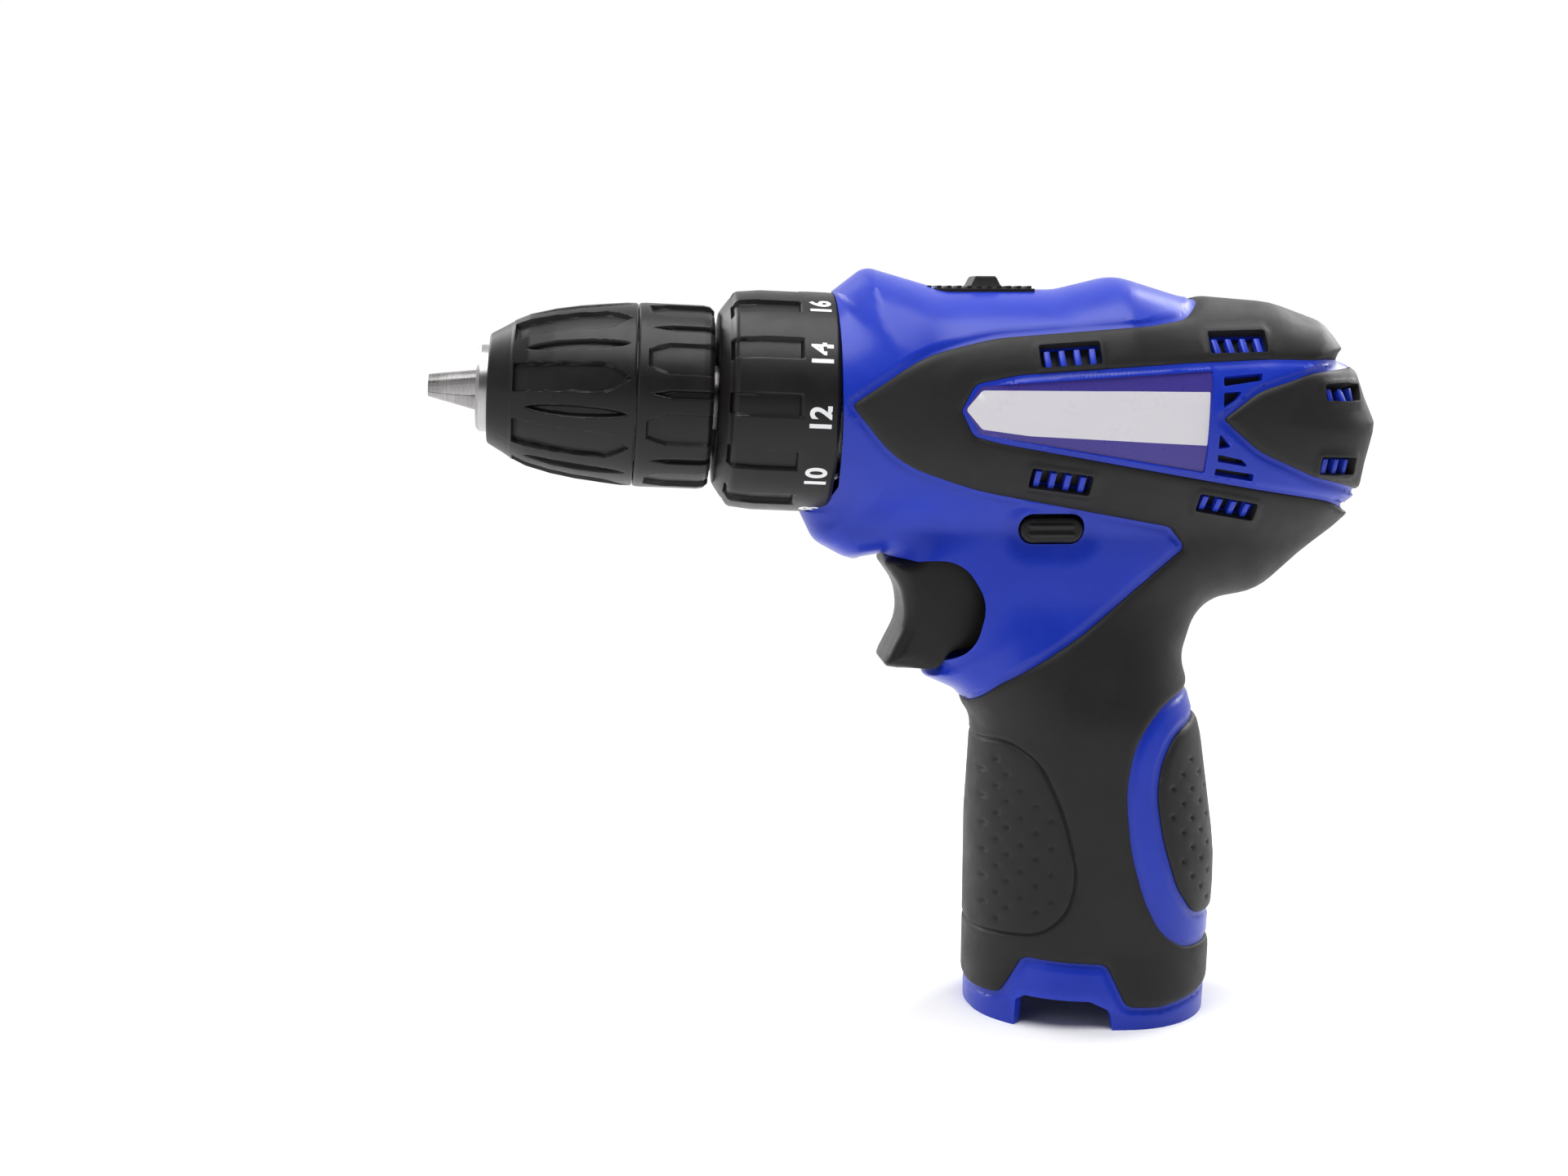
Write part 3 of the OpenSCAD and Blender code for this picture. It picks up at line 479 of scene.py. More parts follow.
# how far from an outline the sheet's extra points run beside it
edgeRings = {"body": (0.02, 0.08, 0.2, 0.4, 0.7, 1.1, 1.6, 2.3, 3.2, 4.3), "pit": (0.35, 0.7, 1.05),
             "soft": (0.12, 0.35, 0.7, 1.15, 1.7, 2.4), "hole": (-0.12, 0.12, -0.6, 0.6, -1.1, 1.1),
             "line": (-0.9, -0.5, -0.25, -0.1, 0.1, 0.25, 0.5, 0.9)}


# Triangles over the (x, z) points inside an outline, all turned the same way round
def triangulated(points, edges, outline, reach):
    made = delaunay_2d_cdt([Vector(p) for p in points], edges, [], 0, reach)
    flatPoints = np.array([(v.x, v.y) for v in made[0]])
    tris = np.array([f for f in made[2] if len(f) == 3])
    a, b, c = (flatPoints[tris[:, k]] for k in range(3))
    area = (b[:, 0] - a[:, 0]) * (c[:, 1] - a[:, 1]) - (b[:, 1] - a[:, 1]) * (c[:, 0] - a[:, 0])
    tris[area < 0] = tris[area < 0][:, ::-1]
    return flatPoints, tris[(np.abs(area) > 1e-7) & inside((a + b + c) / 3, outline)]


def besideLoop(loop, gaps):
    run = np.roll(loop, -1, axis=0) - np.roll(loop, 1, axis=0)
    run = run / np.maximum(np.linalg.norm(run, axis=1), 1e-9)[:, None]
    side = np.stack([run[:, 1], -run[:, 0]], 1)
    return np.concatenate([loop + side * g for g in gaps])


# One flat mesh of (x, z) points and triangles that follows every outline on the body's side
def makeSheet(step):
    loops = [bodyOutline] + list(areas.values()) + list(holes.values()) + list(wells.values())
    points = [p for loop in loops for p in loop]
    edges, at = [], 0
    for loop in loops:
        edges += [(at + i, at + (i + 1) % len(loop)) for i in range(len(loop))]
        at += len(loop)
    extra = [besideLoop(bodyOutline, edgeRings["body"])]
    for name in ("soft", "window", "cap", "inlay"):
        extra.append(besideLoop(areas[name], [g * sign for g in edgeRings["soft"] for sign in (-1, 1)]))
    for name in ("label", "frontPad"):
        extra.append(besideLoop(areas[name], edgeRings["line"]))
    for loop in [*holes.values(), *wells.values()]:
        extra.append(besideLoop(loop, edgeRings["hole"]))
    turns = np.arange(8) * math.pi / 4
    for x, z in pits:
        extra.append(np.array([[x, z]]))
        extra += [np.stack([x + r * np.cos(turns), z + r * np.sin(turns)], 1) for r in edgeRings["pit"]]
    extra = np.concatenate(extra)
    extra = extra[inside(extra, bodyOutline)]
    extra = extra[toLoop(extra, bodyOutline) > 0.015]
    rows, columns = np.arange(-1, 165, step * 0.87), np.arange(-66, 68, step)
    grid = np.array([(x + (step / 2 if k % 2 else 0), z) for k, z in enumerate(rows) for x in columns])
    grid = grid[inside(grid, bodyOutline)]
    cells = {}
    for p in np.concatenate([np.array(points), extra]):
        cells.setdefault((int(p[0] // step), int(p[1] // step)), []).append(p)
    free = []  # grid points with room round them
    for p in grid:
        i, j = int(p[0] // step), int(p[1] // step)
        near = [q for a in (-1, 0, 1) for b in (-1, 0, 1) for q in cells.get((i + a, j + b), ())]
        if not near or min((q[0] - p[0]) ** 2 + (q[1] - p[1]) ** 2 for q in near) > (0.6 * step) ** 2:
            free.append(p)
    sheet, tris = triangulated(points + list(extra) + free, edges, bodyOutline, 0.004)
    used, back = np.unique(tris, return_inverse=True)
    tris = back.reshape(-1, 3)
    return sheet[used], tris, sheet[used][tris].mean(1)


flat, triangles, middle = makeSheet(bodyShape["gridStep"])
print("body sheet:", len(flat), "points,", len(triangles), "triangles")


finishes = {}
for make, looks in ((makePlastic, plasticLooks), (makeMetal, metalLooks), (makePlain, plainLooks)):
    finishes.update({name: make(name, look) for name, look in looks.items()})
floor.data.materials.append(makePaper("floorPaper", stageSet["floorColour"]))
slotOf = {name: "".join("_" + c.lower() if c.isupper() else c for c in name) for name in finishes}
slotOf.update(labelWhite="label", whiteInk="label")
print("finishes:", len(finishes))


def finishMesh(mesh, sharpAngle):
    mesh.validate()
    mesh.shade_smooth()
    mesh.set_sharp_from_angle(angle=math.radians(sharpAngle))
    mesh.update()


# A closed mesh in millimetres becomes a piece that rides on one body
def addPiece(name, shape, bodyName, looks, faceLooks=None, replaced=(), sharpAngle=34):
    points, faces = shape
    mesh = bpy.data.meshes.new(name)
    mesh.from_pydata((np.asarray(points) * mm).tolist(), [], [list(map(int, f)) for f in faces])
    for look in looks:
        mesh.materials.append(finishes[look])
    if faceLooks is not None:
        mesh.polygons.foreach_set("material_index", np.asarray(faceLooks, dtype=np.int32))
    finishMesh(mesh, sharpAngle)
    piece = linked(name, mesh)
    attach(piece, bodyName)
    if replaced:
        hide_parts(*replaced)
    return piece


skinShape = {"lipDepth": 0.42, "lipWidth": 1.0, "pillow": 0.55, "pillowReach": 1.9, "softEdge": -0.22,
             "bevelReach": 4.6, "bevelDrop": 0.45, "labelDepth": 0.5, "padGroove": 0.55, "pitDepth": 0.5,
             "pitSize": 0.5, "pocketDepth": 1.0, "pocketReach": 4.5, "ventFrame": 0.32, "capRidge": 0.5,
             "ridgeLine": (130.7, 0.085, 7.0),  # its height at the cap's front, its fall and its half width
             "grooveWidth": 0.38, "stripeRise": 0.35, "plateThick": 0.33, "roomDepth": 1.8,
             # thinner walls where the trigger slides and the torque ring turns: ramps along x (0) and z (1)
             "rooms": [[(0, -41, -38), (0, -19, -22), (1, 72, 75), (1, 102, 99)],
                       [(0, -53, -56), (1, 121, 117)]]}


def allInside(points, loops):
    return {name: inside(points, loop) for name, loop in loops.items()}


skin = np.stack([flat[:, 0], -halfWidth(flat), flat[:, 1]], 1)
corners = skin[triangles]
facing = np.cross(corners[:, 1] - corners[:, 0], corners[:, 2] - corners[:, 0])
normals = np.zeros_like(skin)
for k in range(3):
    np.add.at(normals, triangles[:, k], facing)
normals /= np.maximum(np.linalg.norm(normals, axis=1), 1e-12)[:, None]

triIn, pointIn = allInside(middle, areas), allInside(flat, areas)
triSoft, isSoft = (a["soft"] & ~a["window"] & ~a["inlay"] & ~a["cap"] for a in (triIn, pointIn))
triCap = triIn["cap"]
holeOf = allInside(middle, holes)
wellOf = np.any(list(allInside(middle, wells).values()), axis=0)
ventHole, cellHole = (np.any([holeOf[n] for n in holeOf if n.startswith(kind)], axis=0)
                      for kind in ("vent", "cell"))

gap = {name: toLoop(flat, areas[name]) for name in ("soft", "window", "cap", "inlay", "label", "frontPad")}
softGap = np.minimum.reduce([gap["soft"], gap["window"], gap["inlay"]])
edgeGap = np.minimum(softGap, gap["cap"])
pitGap = np.hypot(flat[:, 0] - pits[:, 0, None], flat[:, 1] - pits[:, 1, None]).min(0)
ventGap = np.minimum.reduce([toLoop(flat, holes["vent%d" % i]) for i in range(len(vents))])
buttonGap = toLoop(flat, holes["button"])


# Height of the blue surface over the plain skin: a lip round the soft parts and a scoop for the button
def blueRise(s):
    rise = -s["lipDepth"] * (1 - ease(s["lipWidth"], s["lipWidth"] + 0.35, edgeGap))
    rise = rise - s["pocketDepth"] * (1 - ease(0, s["pocketReach"], buttonGap)) * (flat[:, 1] > 98)
    stripe = pointIn["window"] * ease(44, 56, flat[:, 0])
    rise = rise + s["stripeRise"] * stripe * ease(s["lipWidth"], s["lipWidth"] + 0.3, edgeGap)
    plate = pointIn["label"] & (gap["label"] > 0.05)
    rise = np.where(plate, -s["labelDepth"] - 0.35, rise)
    covered = (isSoft | pointIn["cap"]) & (edgeGap > 0.05)
    return np.where(covered, -bodyShape["softDepth"] - 0.1, rise)


# A soft part's rounded edge and the thin frames round its vents
def pillow(s, edge):
    shoulder = np.minimum(edge / s["pillowReach"], 1)
    rise = s["softEdge"] + (s["pillow"] - s["softEdge"]) * np.sqrt(np.maximum(1 - (1 - shoulder) ** 2, 0))
    return rise + s["ventFrame"] * (1 - ease(0.7, 1.1, ventGap))


# Height of the soft skin: a bevel towards the window, pad grooves and pits
def softRise(s):
    bevel = s["bevelDrop"] * (1 - np.minimum(gap["window"] / s["bevelReach"], 1))
    rise = pillow(s, softGap) - bevel * (flat[:, 0] > -40)
    rise = rise - s["padGroove"] * np.exp(-(gap["frontPad"] / s["grooveWidth"]) ** 2) * (flat[:, 1] < 66)
    return rise - s["pitDepth"] * np.exp(-(pitGap / s["pitSize"]) ** 2)


# Height of the rear cap: a ridge that grows towards the back
def capRise(s):
    height, slope, reach = s["ridgeLine"]
    ridge = 1 - np.minimum(np.abs(flat[:, 1] - (height - slope * (flat[:, 0] - 25))) / reach, 1)
    return pillow(s, gap["cap"]) + s["capRidge"] * ridge * ease(26, 40, flat[:, 0])


# Faces of a closed solid: a front, the same turned over as its back, and a rim where no seam runs
def closedFaces(tris, count, seam=()):
    faces = [tuple(f) for f in tris] + [(c + count, b + count, a + count) for a, b, c in tris]
    edges = {edge: True for a, b, c in tris for edge in ((a, b), (b, c), (c, a))}
    return faces + [(b, a, a + count, b + count) for a, b in edges
                    if (b, a) not in edges and not (a in seam and b in seam)]


# A closed solid between two heights over the skin, for the chosen triangles; side is -1 or 1
def shell(chosen, outerRise, innerRise, side, welded=False):
    used, back = np.unique(triangles[chosen], return_inverse=True)
    limit = 0.0 if welded else bodyShape["partingGap"]
    sheets = []
    for rise in (outerRise, innerRise):
        sheet = skin[used] + normals[used] * np.broadcast_to(rise, len(skin))[used][:, None]
        sheet[:, 1] = np.minimum(sheet[:, 1], -limit)
        sheets.append(sheet)
    seam = set(np.flatnonzero(sheets[0][:, 1] > -0.02).tolist()) if welded else ()
    faces = closedFaces(back.reshape(-1, 3), len(used), seam)
    points = np.concatenate(sheets)
    if side > 0:
        points = points * (1, -1, 1)
        faces = [f[::-1] for f in faces]
    return points, faces


blueTop, softTop, capTop = blueRise(skinShape), softRise(skinShape), capRise(skinShape)
innerTop = np.full(len(flat), -bodyShape["wall"])
for ramps in skinShape["rooms"]:
    room = np.prod([ease(low, high, flat[:, axis]) for axis, low, high in ramps], axis=0)
    innerTop = np.maximum(innerTop, skinShape["roomDepth"] * room - bodyShape["wall"])
sideNames = {-1: "left", 1: "right"}
for side, sideName in sideNames.items():
    screwed = wellOf & (side > 0)  # the screws go in from the right
    opened = ventHole | cellHole | holeOf["button"] | triIn["notch"] | triCap | screwed
    pieces = [("HousingSkin", ~opened, blueTop, innerTop, "bluePlastic", "_housing"),
              ("SoftSkin", triSoft & ~ventHole & ~screwed & ~holeOf["button"], softTop,
               -bodyShape["softDepth"], "softGrip", "_overmould")]
    for ending, chosen, top, under, look, node in pieces:
        solid = shell(chosen, top, under, side)
        addPiece(sideName + ending, solid, "drill", [look], replaced=[sideName + node])
    plateTop = -skinShape["labelDepth"]
    plate = shell(triIn["label"], plateTop, plateTop - skinShape["plateThick"], side)
    white = triIn["white"][triIn["label"]]
    looks = np.ones(len(plate[1]), int)
    looks[:len(white)] = np.where(white, 0, 1)
    addPiece(sideName + "Plate", plate, "drill", ["labelWhite", "labelIndigo"], looks,
             replaced=[sideName + "_nameplate"])

capParts = [shell(triCap & ~ventHole, capTop, -bodyShape["wall"], side, welded=True) for side in sideNames]
capPoints = np.concatenate([capParts[0][0], capParts[1][0]])
capFaces = capParts[0][1] + [tuple(i + len(capParts[0][0]) for i in f) for f in capParts[1][1]]


# Points that coincide become one, and faces that lose their area go
def weldPoints(points, faces, reach=0.004):
    keys, keep, back = {}, [], []
    for p in points:
        key = tuple(np.round(p / reach).astype(int))
        if key not in keys:
            keys[key] = len(keep)
            keep.append(p)
        back.append(keys[key])
    joined = []
    for face in faces:
        ring = [back[i] for i in face]
        ring = [v for k, v in enumerate(ring) if v != ring[k - 1]]
        if len(ring) > 2:
            joined.append(tuple(ring))
    return np.array(keep), joined


addPiece("rearCapSkin", weldPoints(capPoints, capFaces), "drill", ["softGrip"], replaced=["rear_cap"])
print("body pieces made")


# Profile corners (s, r) with in-between points so that no span is longer than step
def filled(profile, step):
    out = []
    for (s0, r0), (s1, r1) in zip(profile[:-1], profile[1:]):
        parts = max(1, math.ceil(math.hypot(s1 - s0, r1 - r0) / step))
        out += [(s0 + (s1 - s0) * k / parts, r0 + (r1 - r0) * k / parts) for k in range(parts)]
    return out + [profile[-1]]


# A ring-shaped solid: outer skin cut by recess(s, arc angle, r), inner skin plain
def turned(outer, innerProfile, count, recess, step=0.42):
    outer = np.array(filled(outer, step))
    profile = np.concatenate([outer, innerProfile])
    phi = np.arange(count)[None] * 2 * math.pi / count + np.zeros((len(profile), 1))
    s, r = (profile[:, k, None] + 0 * phi for k in (0, 1))
    n = len(outer)
    r[:n] -= recess(s[:n], np.degrees(phi[:n]), r[:n])
    points = fromBarrel(s, -r * np.cos(phi), r * np.sin(phi)).reshape(-1, 3)
    ringOf = np.arange(len(points)).reshape(r.shape)
    along, both = np.roll(ringOf, -1, axis=0), np.roll(ringOf, (-1, -1), axis=(0, 1))
    return points, np.stack([ringOf, along, both, np.roll(ringOf, -1, axis=1)], -1).reshape(-1, 4)


# Distance round the surface from the nearest of a row of evenly spaced lines
def arcFrom(phi, r, first, pitch):
    turn = (phi - first + pitch / 2) % pitch - pitch / 2
    return np.abs(np.radians(turn)) * r


chuckSleeves = {"flutes": 8, "wideAt": 12.0, "lensAt": -10.5, "hexAt": 25.5, "grooveAt": 3.0, "depth": 0.95,
                "frontFlute": (-126.0, -106.5, -101.2, 3.25), "lensSlot": (-123.2, -101.8, 1.35),
                "rearFlute": (-97.6, -93.2, 2.0, 3.7), "rearGroove": (-97.2, -92.5, 0.95), "around": 720}


def frontSleeveCut(s, phi, r):
    c = chuckSleeves
    pitch = 360 / c["flutes"]
    start, taper, end, half = c["frontFlute"]
    width = half * (1 - np.clip((s - taper) / (end - taper), 0, 1) ** 1.3)
    deep = np.minimum(width - arcFrom(phi, r, c["wideAt"], pitch), np.minimum(s - start, end - s))
    cut = c["depth"] * ease(0, 0.42, deep) * (1 + 0.25 * ease(-112, -122, s))
    first, last, lensHalf = c["lensSlot"]
    middleS, spanS = (first + last) / 2, (last - first) / 2
    lens = lensHalf * np.sqrt(np.maximum(1 - ((s - middleS) / spanS) ** 2, 0))
    deepLens = lens - arcFrom(phi, r, c["lensAt"], pitch)
    return np.maximum(cut, 1.15 * ease(0, 0.75, deepLens))


def rearSleeveCut(s, phi, r):
    c = chuckSleeves
    pitch = 360 / c["flutes"]
    start, full, narrow, wide = c["rearFlute"]
    width = narrow + (wide - narrow) * np.clip((s - start) / (full - start), 0, 1)
    deep = np.minimum(width - arcFrom(phi, r, c["hexAt"], pitch), s - start)
    first, reached, half = c["rearGroove"]
    groove = half * np.clip((s - first) / (reached - first), 0, 1) - arcFrom(phi, r, c["grooveAt"], pitch)
    groove = np.where(s > first, groove, -1)
    return np.maximum(c["depth"] * ease(0, 0.4, deep), 0.9 * ease(0, 0.45, groove))


frontOuter = [(-131.5, 11.0), (-131.5, 11.7), (-131.2, 12.0), (-128.4, 13.6), (-126.6, 14.7), (-126.4, 14.95),
              (-123, 16.5), (-117.6, 17.9), (-112.3, 18.8), (-107, 19.4), (-102.4, 19.85), (-100.5, 19.85),
              (-100.1, 19.6)]
frontInner = [(-100.1, 17.4), (-106.8, 17.4), (-106.8, 16), (-113.6, 16), (-113.6, 12.8), (-119.4, 12.8),
              (-121.4, 10.8)]
addPiece("frontSleeveSkin", turned(frontOuter, frontInner, chuckSleeves["around"], frontSleeveCut),
         "sleeve", ["blackPlastic"], replaced=["chuck_front_sleeve"], sharpAngle=40)
rearOuter = [(-99.9, 16.3), (-99.9, 19.6), (-99.6, 19.9), (-98.6, 20.0), (-86.0, 20.0), (-84.6, 19.75),
             (-83.7, 18.9)]
rearInner = [(-83.6, 9), (-84.1, 9), (-84.1, 14.52), (-88, 14.52), (-89, 16.3)]
addPiece("rearSleeveSkin", turned(rearOuter, rearInner, chuckSleeves["around"], rearSleeveCut),
         "chuck", ["blackPlastic"], replaced=["chuck_rear_sleeve"], sharpAngle=40)

torqueRing = {"pads": 12, "padAt": 29.8, "padHalf": 2.5, "padStart": -80.6, "padEnd": -65.5, "padDepth": 1.05,
              "around": 720, "digitHeight": 4.7, "digitRise": 0.04, "digitMiddle": -61.6, "digitStep": 33.2,
              "firstDigit": (10, -38.6), "stroke": 0.03, "digitSink": -0.1, "digitSqueeze": 0.92,
              "radius": 24.0,
              # the twist bit that stands for drilling, from its tip: along it, across it
              "bit": [(-2.3, 0.55), (1.2, 0.55), (2.3, 0), (1.2, -0.55), (-2.3, -0.55), (-2.3, -0.25),
                      (-2.9, -0.25), (-2.9, 0.25), (-2.3, 0.25)]}


def ringCut(s, phi, r):
    c = torqueRing
    side = arcFrom(phi, r, c["padAt"], 360 / c["pads"])
    deep = np.minimum(c["padHalf"] - side, np.minimum(s - c["padStart"], c["padEnd"] - s))
    cut = c["padDepth"] * ease(0, 0.45, deep)
    bead = np.minimum(np.abs(s + 80.2), 9)  # a fine line round the front lip
    return cut + 0.18 * np.exp(-(bead / 0.22) ** 2)


ringOuter = [(-82.6, 13.2), (-82.6, 18.6), (-82.2, 19.3), (-79.5, 23.1), (-78.8, 23.5), (-74.6, 23.95),
             (-73.5, 24.0), (-58.2, 24.0), (-57.5, 23.5)]
ringInner = [(-57.4, 20.6), (-80.2, 20.6), (-80.4, 13.2)]
addPiece("torqueRingSkin", turned(ringOuter, ringInner, torqueRing["around"], ringCut),
         "torque_ring", ["blackPlastic"], replaced=["clutch_ring"], sharpAngle=40)


# Points u across and v up a mark on the torque ring, whose top faces the nose
def onRing(u, v, lift, atAngle, c):
    phi, radius = math.radians(atAngle) + u / c["radius"], c["radius"] + lift
    return fromBarrel(c["digitMiddle"] - v, -radius * np.cos(phi), radius * np.sin(phi))


# A generic number cut from thin sheet and laid round the torque ring
def wrappedText(word, atAngle, c):
    curve = bpy.data.curves.new("number" + word, "FONT")
    curve.body, curve.size, curve.extrude, curve.offset = word, 1.0, 0.02, c["stroke"]
    curve.align_x, curve.align_y, curve.resolution_u = "CENTER", "CENTER", 6
    holder = linked("number" + word, curve)
    bpy.context.view_layer.update()
    mesh = bpy.data.meshes.new_from_object(holder.evaluated_get(bpy.context.evaluated_depsgraph_get()))
    flatPoints = np.array([v.co for v in mesh.vertices])
    faces = [tuple(p.vertices) for p in mesh.polygons]
    bpy.data.objects.remove(holder)
    low, high = flatPoints.min(0), flatPoints.max(0)
    scale = c["digitHeight"] / (high[1] - low[1])
    u, v = ((flatPoints[:, k] - (low[k] + high[k]) / 2) * scale for k in (0, 1))
    lift = np.where(flatPoints[:, 2] > 0, c["digitRise"], c["digitSink"])
    return onRing(u * c["digitSqueeze"], v, lift, atAngle, c), faces


# The drilling setting: a plain twist bit seen from the side
def drillMark(atAngle, c):
    v, u = np.array(c["bit"]).T
    n = len(u)
    faces = [tuple(range(n)), tuple(range(2 * n - 1, n - 1, -1))]
    faces += [(i, i + n, (i + 1) % n + n, (i + 1) % n) for i in range(n)]
    return np.concatenate([onRing(u, v, c[lift], atAngle, c) for lift in ("digitSink", "digitRise")]), faces


numberPoints, numberFaces = [], []
number, angle = torqueRing["firstDigit"]
marks = [(str(n), angle + torqueRing["digitStep"] * (n - number) / 2) for n in range(2, 20, 2)]
shapes = [wrappedText(word, turn, torqueRing) for word, turn in marks]
shapes.append(drillMark(marks[-1][1] + torqueRing["digitStep"] * 0.8, torqueRing))
for shapePoints, shapeFaces in shapes:
    start = len(numberPoints)
    numberPoints.extend(shapePoints)
    numberFaces += [tuple(i + start for i in f) for f in shapeFaces]
addPiece("torqueNumbers", (np.array(numberPoints), numberFaces), "torque_ring", ["whiteInk"])
print("chuck and torque ring made")


# A solid with this side outline, half its width to each side, its rims rounded to the radius
def slab(outline, half, radius, step, rise):
    gaps = [radius * (1 - math.cos(math.radians(w))) for w in (12, 25, 40, 55, 70, 90)]
    probe = besideLoop(outline, [0.05])[:1]
    inward = 1 if inside(probe, outline)[0] else -1
    low, high = outline.min(0), outline.max(0)
    rows = np.arange(low[1], high[1], step)
    grid = np.array([(x, z) for x in np.arange(low[0], high[0], step) for z in rows])
    extra = np.concatenate([besideLoop(outline, [g * inward for g in gaps]), grid])
    extra = extra[inside(extra, outline)]
    extra = extra[toLoop(extra, outline) > 0.9 * gaps[0]]
    n = len(outline)
    edges = [(i, (i + 1) % n) for i in range(n)]
    flatPoints, tris = triangulated(list(outline) + list(extra), edges, outline, 0.01)
    depth = np.minimum(toLoop(flatPoints, outline), radius)
    height = half - radius + np.sqrt(np.maximum(radius ** 2 - (radius - depth) ** 2, 0))
    height = height + rise(flatPoints, depth)
    points = np.concatenate([np.stack([flatPoints[:, 0], y, flatPoints[:, 1]], 1) for y in (-height, height)])
    return points, closedFaces(tris, len(flatPoints))


triggerShape = {"half": 10.1, "radius": 3.3, "step": 1.3, "flatFrom": -43.0, "flatTo": -36.0,
                "corners": [(-47.4, 100.4, 1.5), (-42.4, 93.4, 10), (-41.4, 86.4, 12), (-45.4, 78.6, 4),
                            (-46.2, 76.4, 1.2), (-43, 75.9, 2), (-34.5, 76.0, 3), (-31.5, 80.0, 4),
                            (-22.6, 81.2, 1), (-22.6, 98.4, 1), (-30, 100.2, 1)]}


# Only the front of the trigger is rounded: behind it the sides run flat into the body
def triggerRise(flatPoints, depth):
    c = triggerShape
    lost = c["radius"] - np.sqrt(np.maximum(c["radius"] ** 2 - (c["radius"] - depth) ** 2, 0))
    return 0.92 * lost * ease(c["flatFrom"], c["flatTo"], flatPoints[:, 0])


triggerShell = slab(rounded(triggerShape["corners"])[0], triggerShape["half"], triggerShape["radius"],
                    triggerShape["step"], triggerRise)
addPiece("triggerSkin", triggerShell, "finger_trigger", ["blackPlastic"], replaced=["trigger"], sharpAngle=40)


def buttonRidges(flatPoints, depth):
    z = flatPoints[:, 1] - buttonPlace["z"]
    along = np.abs(flatPoints[:, 0] - buttonPlace["x"])
    ridge = np.exp(-((np.abs(z) - 0.95) / 0.32) ** 2) * ease(5.2, 4.4, along)
    return 0.3 * ridge - 0.15


pill = slotOutline(buttonPlace["x"], buttonPlace["z"], buttonPlace["half"], buttonPlace["radius"], 14)
addPiece("buttonSkin", slab(pill, buttonPlace["out"], buttonPlace["edge"], 0.35, buttonRidges),
         "direction", ["blackPlastic"], replaced=["direction_button"], sharpAngle=40)
print("trigger and button made")


# A Geometry Nodes tree with named inputs, built a node at a time
class NodeTree:

    def __init__(self, name, inputs):
        self.tree = bpy.data.node_groups.new(name, "GeometryNodeTree")
        self.tree.interface.new_socket("Geometry", in_out="INPUT", socket_type="NodeSocketGeometry")
        self.tree.interface.new_socket("Geometry", in_out="OUTPUT", socket_type="NodeSocketGeometry")
        self.ids = {}
        for key, (kind, value) in inputs.items():
            made = self.tree.interface.new_socket(key, in_out="INPUT", socket_type=kind)
            if value is not None:
                made.default_value = value
            self.ids[key] = made.identifier
        self.start, self.end = self.tree.nodes.new("NodeGroupInput"), self.tree.nodes.new("NodeGroupOutput")

    def node(self, kind, settings, values):
        made = self.tree.nodes.new(kind)
        for key, value in settings.items():
            setattr(made, key, value)
        for key, value in values.items():
            if isinstance(value, bpy.types.NodeSocket):
                self.tree.links.new(value, made.inputs[key])
            else:
                made.inputs[key].default_value = value
        return made

    def close(self, geometry):
        real = self.node("GeometryNodeRealizeInstances", {}, {"Geometry": geometry})
        dressed = self.node("GeometryNodeSetMaterial", {}, {
            "Geometry": real.outputs[0], "Material": self.start.outputs["Finish"]})
        self.tree.links.new(dressed.outputs[0], self.end.inputs[0])
        return self


# Points that carry the turn and the size of the part that stands on each: (x, y, z), turn, size
def placesMesh(name, places):
    mesh = bpy.data.meshes.new(name)
    mesh.from_pydata([[v * mm for v in p[0]] for p in places], [], [])
    for key, column in (("turn", 1), ("size", 2)):
        layer = mesh.attributes.new(key, "FLOAT_VECTOR", "POINT")
        layer.data.foreach_set("vector", [v for p in places for v in p[column]])
    return mesh


# Runs the tree over the places, then keeps the result as one plain mesh
def repeated(name, places, tree, settings, look, bodyName, bevel=0.0, replaced=()):
    source = linked(name, placesMesh(name, places))
    modifier = source.modifiers.new("repeat", "NODES")
    modifier.node_group = tree.tree
    for key, value in {**settings, "Finish": finishes[look]}.items():
        modifier[tree.ids[key]] = value
    if bevel:
        rounding = source.modifiers.new("rounding", "BEVEL")
        rounding.width, rounding.segments, rounding.limit_method = bevel * mm, 2, "ANGLE"
    bpy.context.view_layer.update()
    mesh = bpy.data.meshes.new_from_object(source.evaluated_get(bpy.context.evaluated_depsgraph_get()))
    source.modifiers.clear()
    source.data = mesh
    if not mesh.materials:
        mesh.materials.append(finishes[look])
    finishMesh(mesh, 34)
    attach(source, bodyName)
    if replaced:
        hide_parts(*replaced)
    return source


def instanced(tree, part):
    turn = tree.node("GeometryNodeInputNamedAttribute", {"data_type": "FLOAT_VECTOR"}, {"Name": "turn"})
    size = tree.node("GeometryNodeInputNamedAttribute", {"data_type": "FLOAT_VECTOR"}, {"Name": "size"})
    return tree.node("GeometryNodeInstanceOnPoints", {}, {
        "Points": tree.start.outputs["Geometry"], "Instance": part, "Rotation": turn.outputs[0],
        "Scale": size.outputs[0]}).outputs[0]


# A block on each point, its own size
def barTree():
    tree = NodeTree("bars", {"Width": ("NodeSocketFloat", 0.001), "Length": ("NodeSocketFloat", 0.001),
                             "Height": ("NodeSocketFloat", 0.001), "Finish": ("NodeSocketMaterial", None)})
    sides = tree.node("ShaderNodeCombineXYZ", {}, {
        axis: tree.start.outputs[key] for axis, key in zip("XYZ", ("Width", "Length", "Height"))})
    block = tree.node("GeometryNodeMeshCube", {}, {"Size": sides.outputs[0]})
    return tree.close(instanced(tree, block.outputs["Mesh"]))


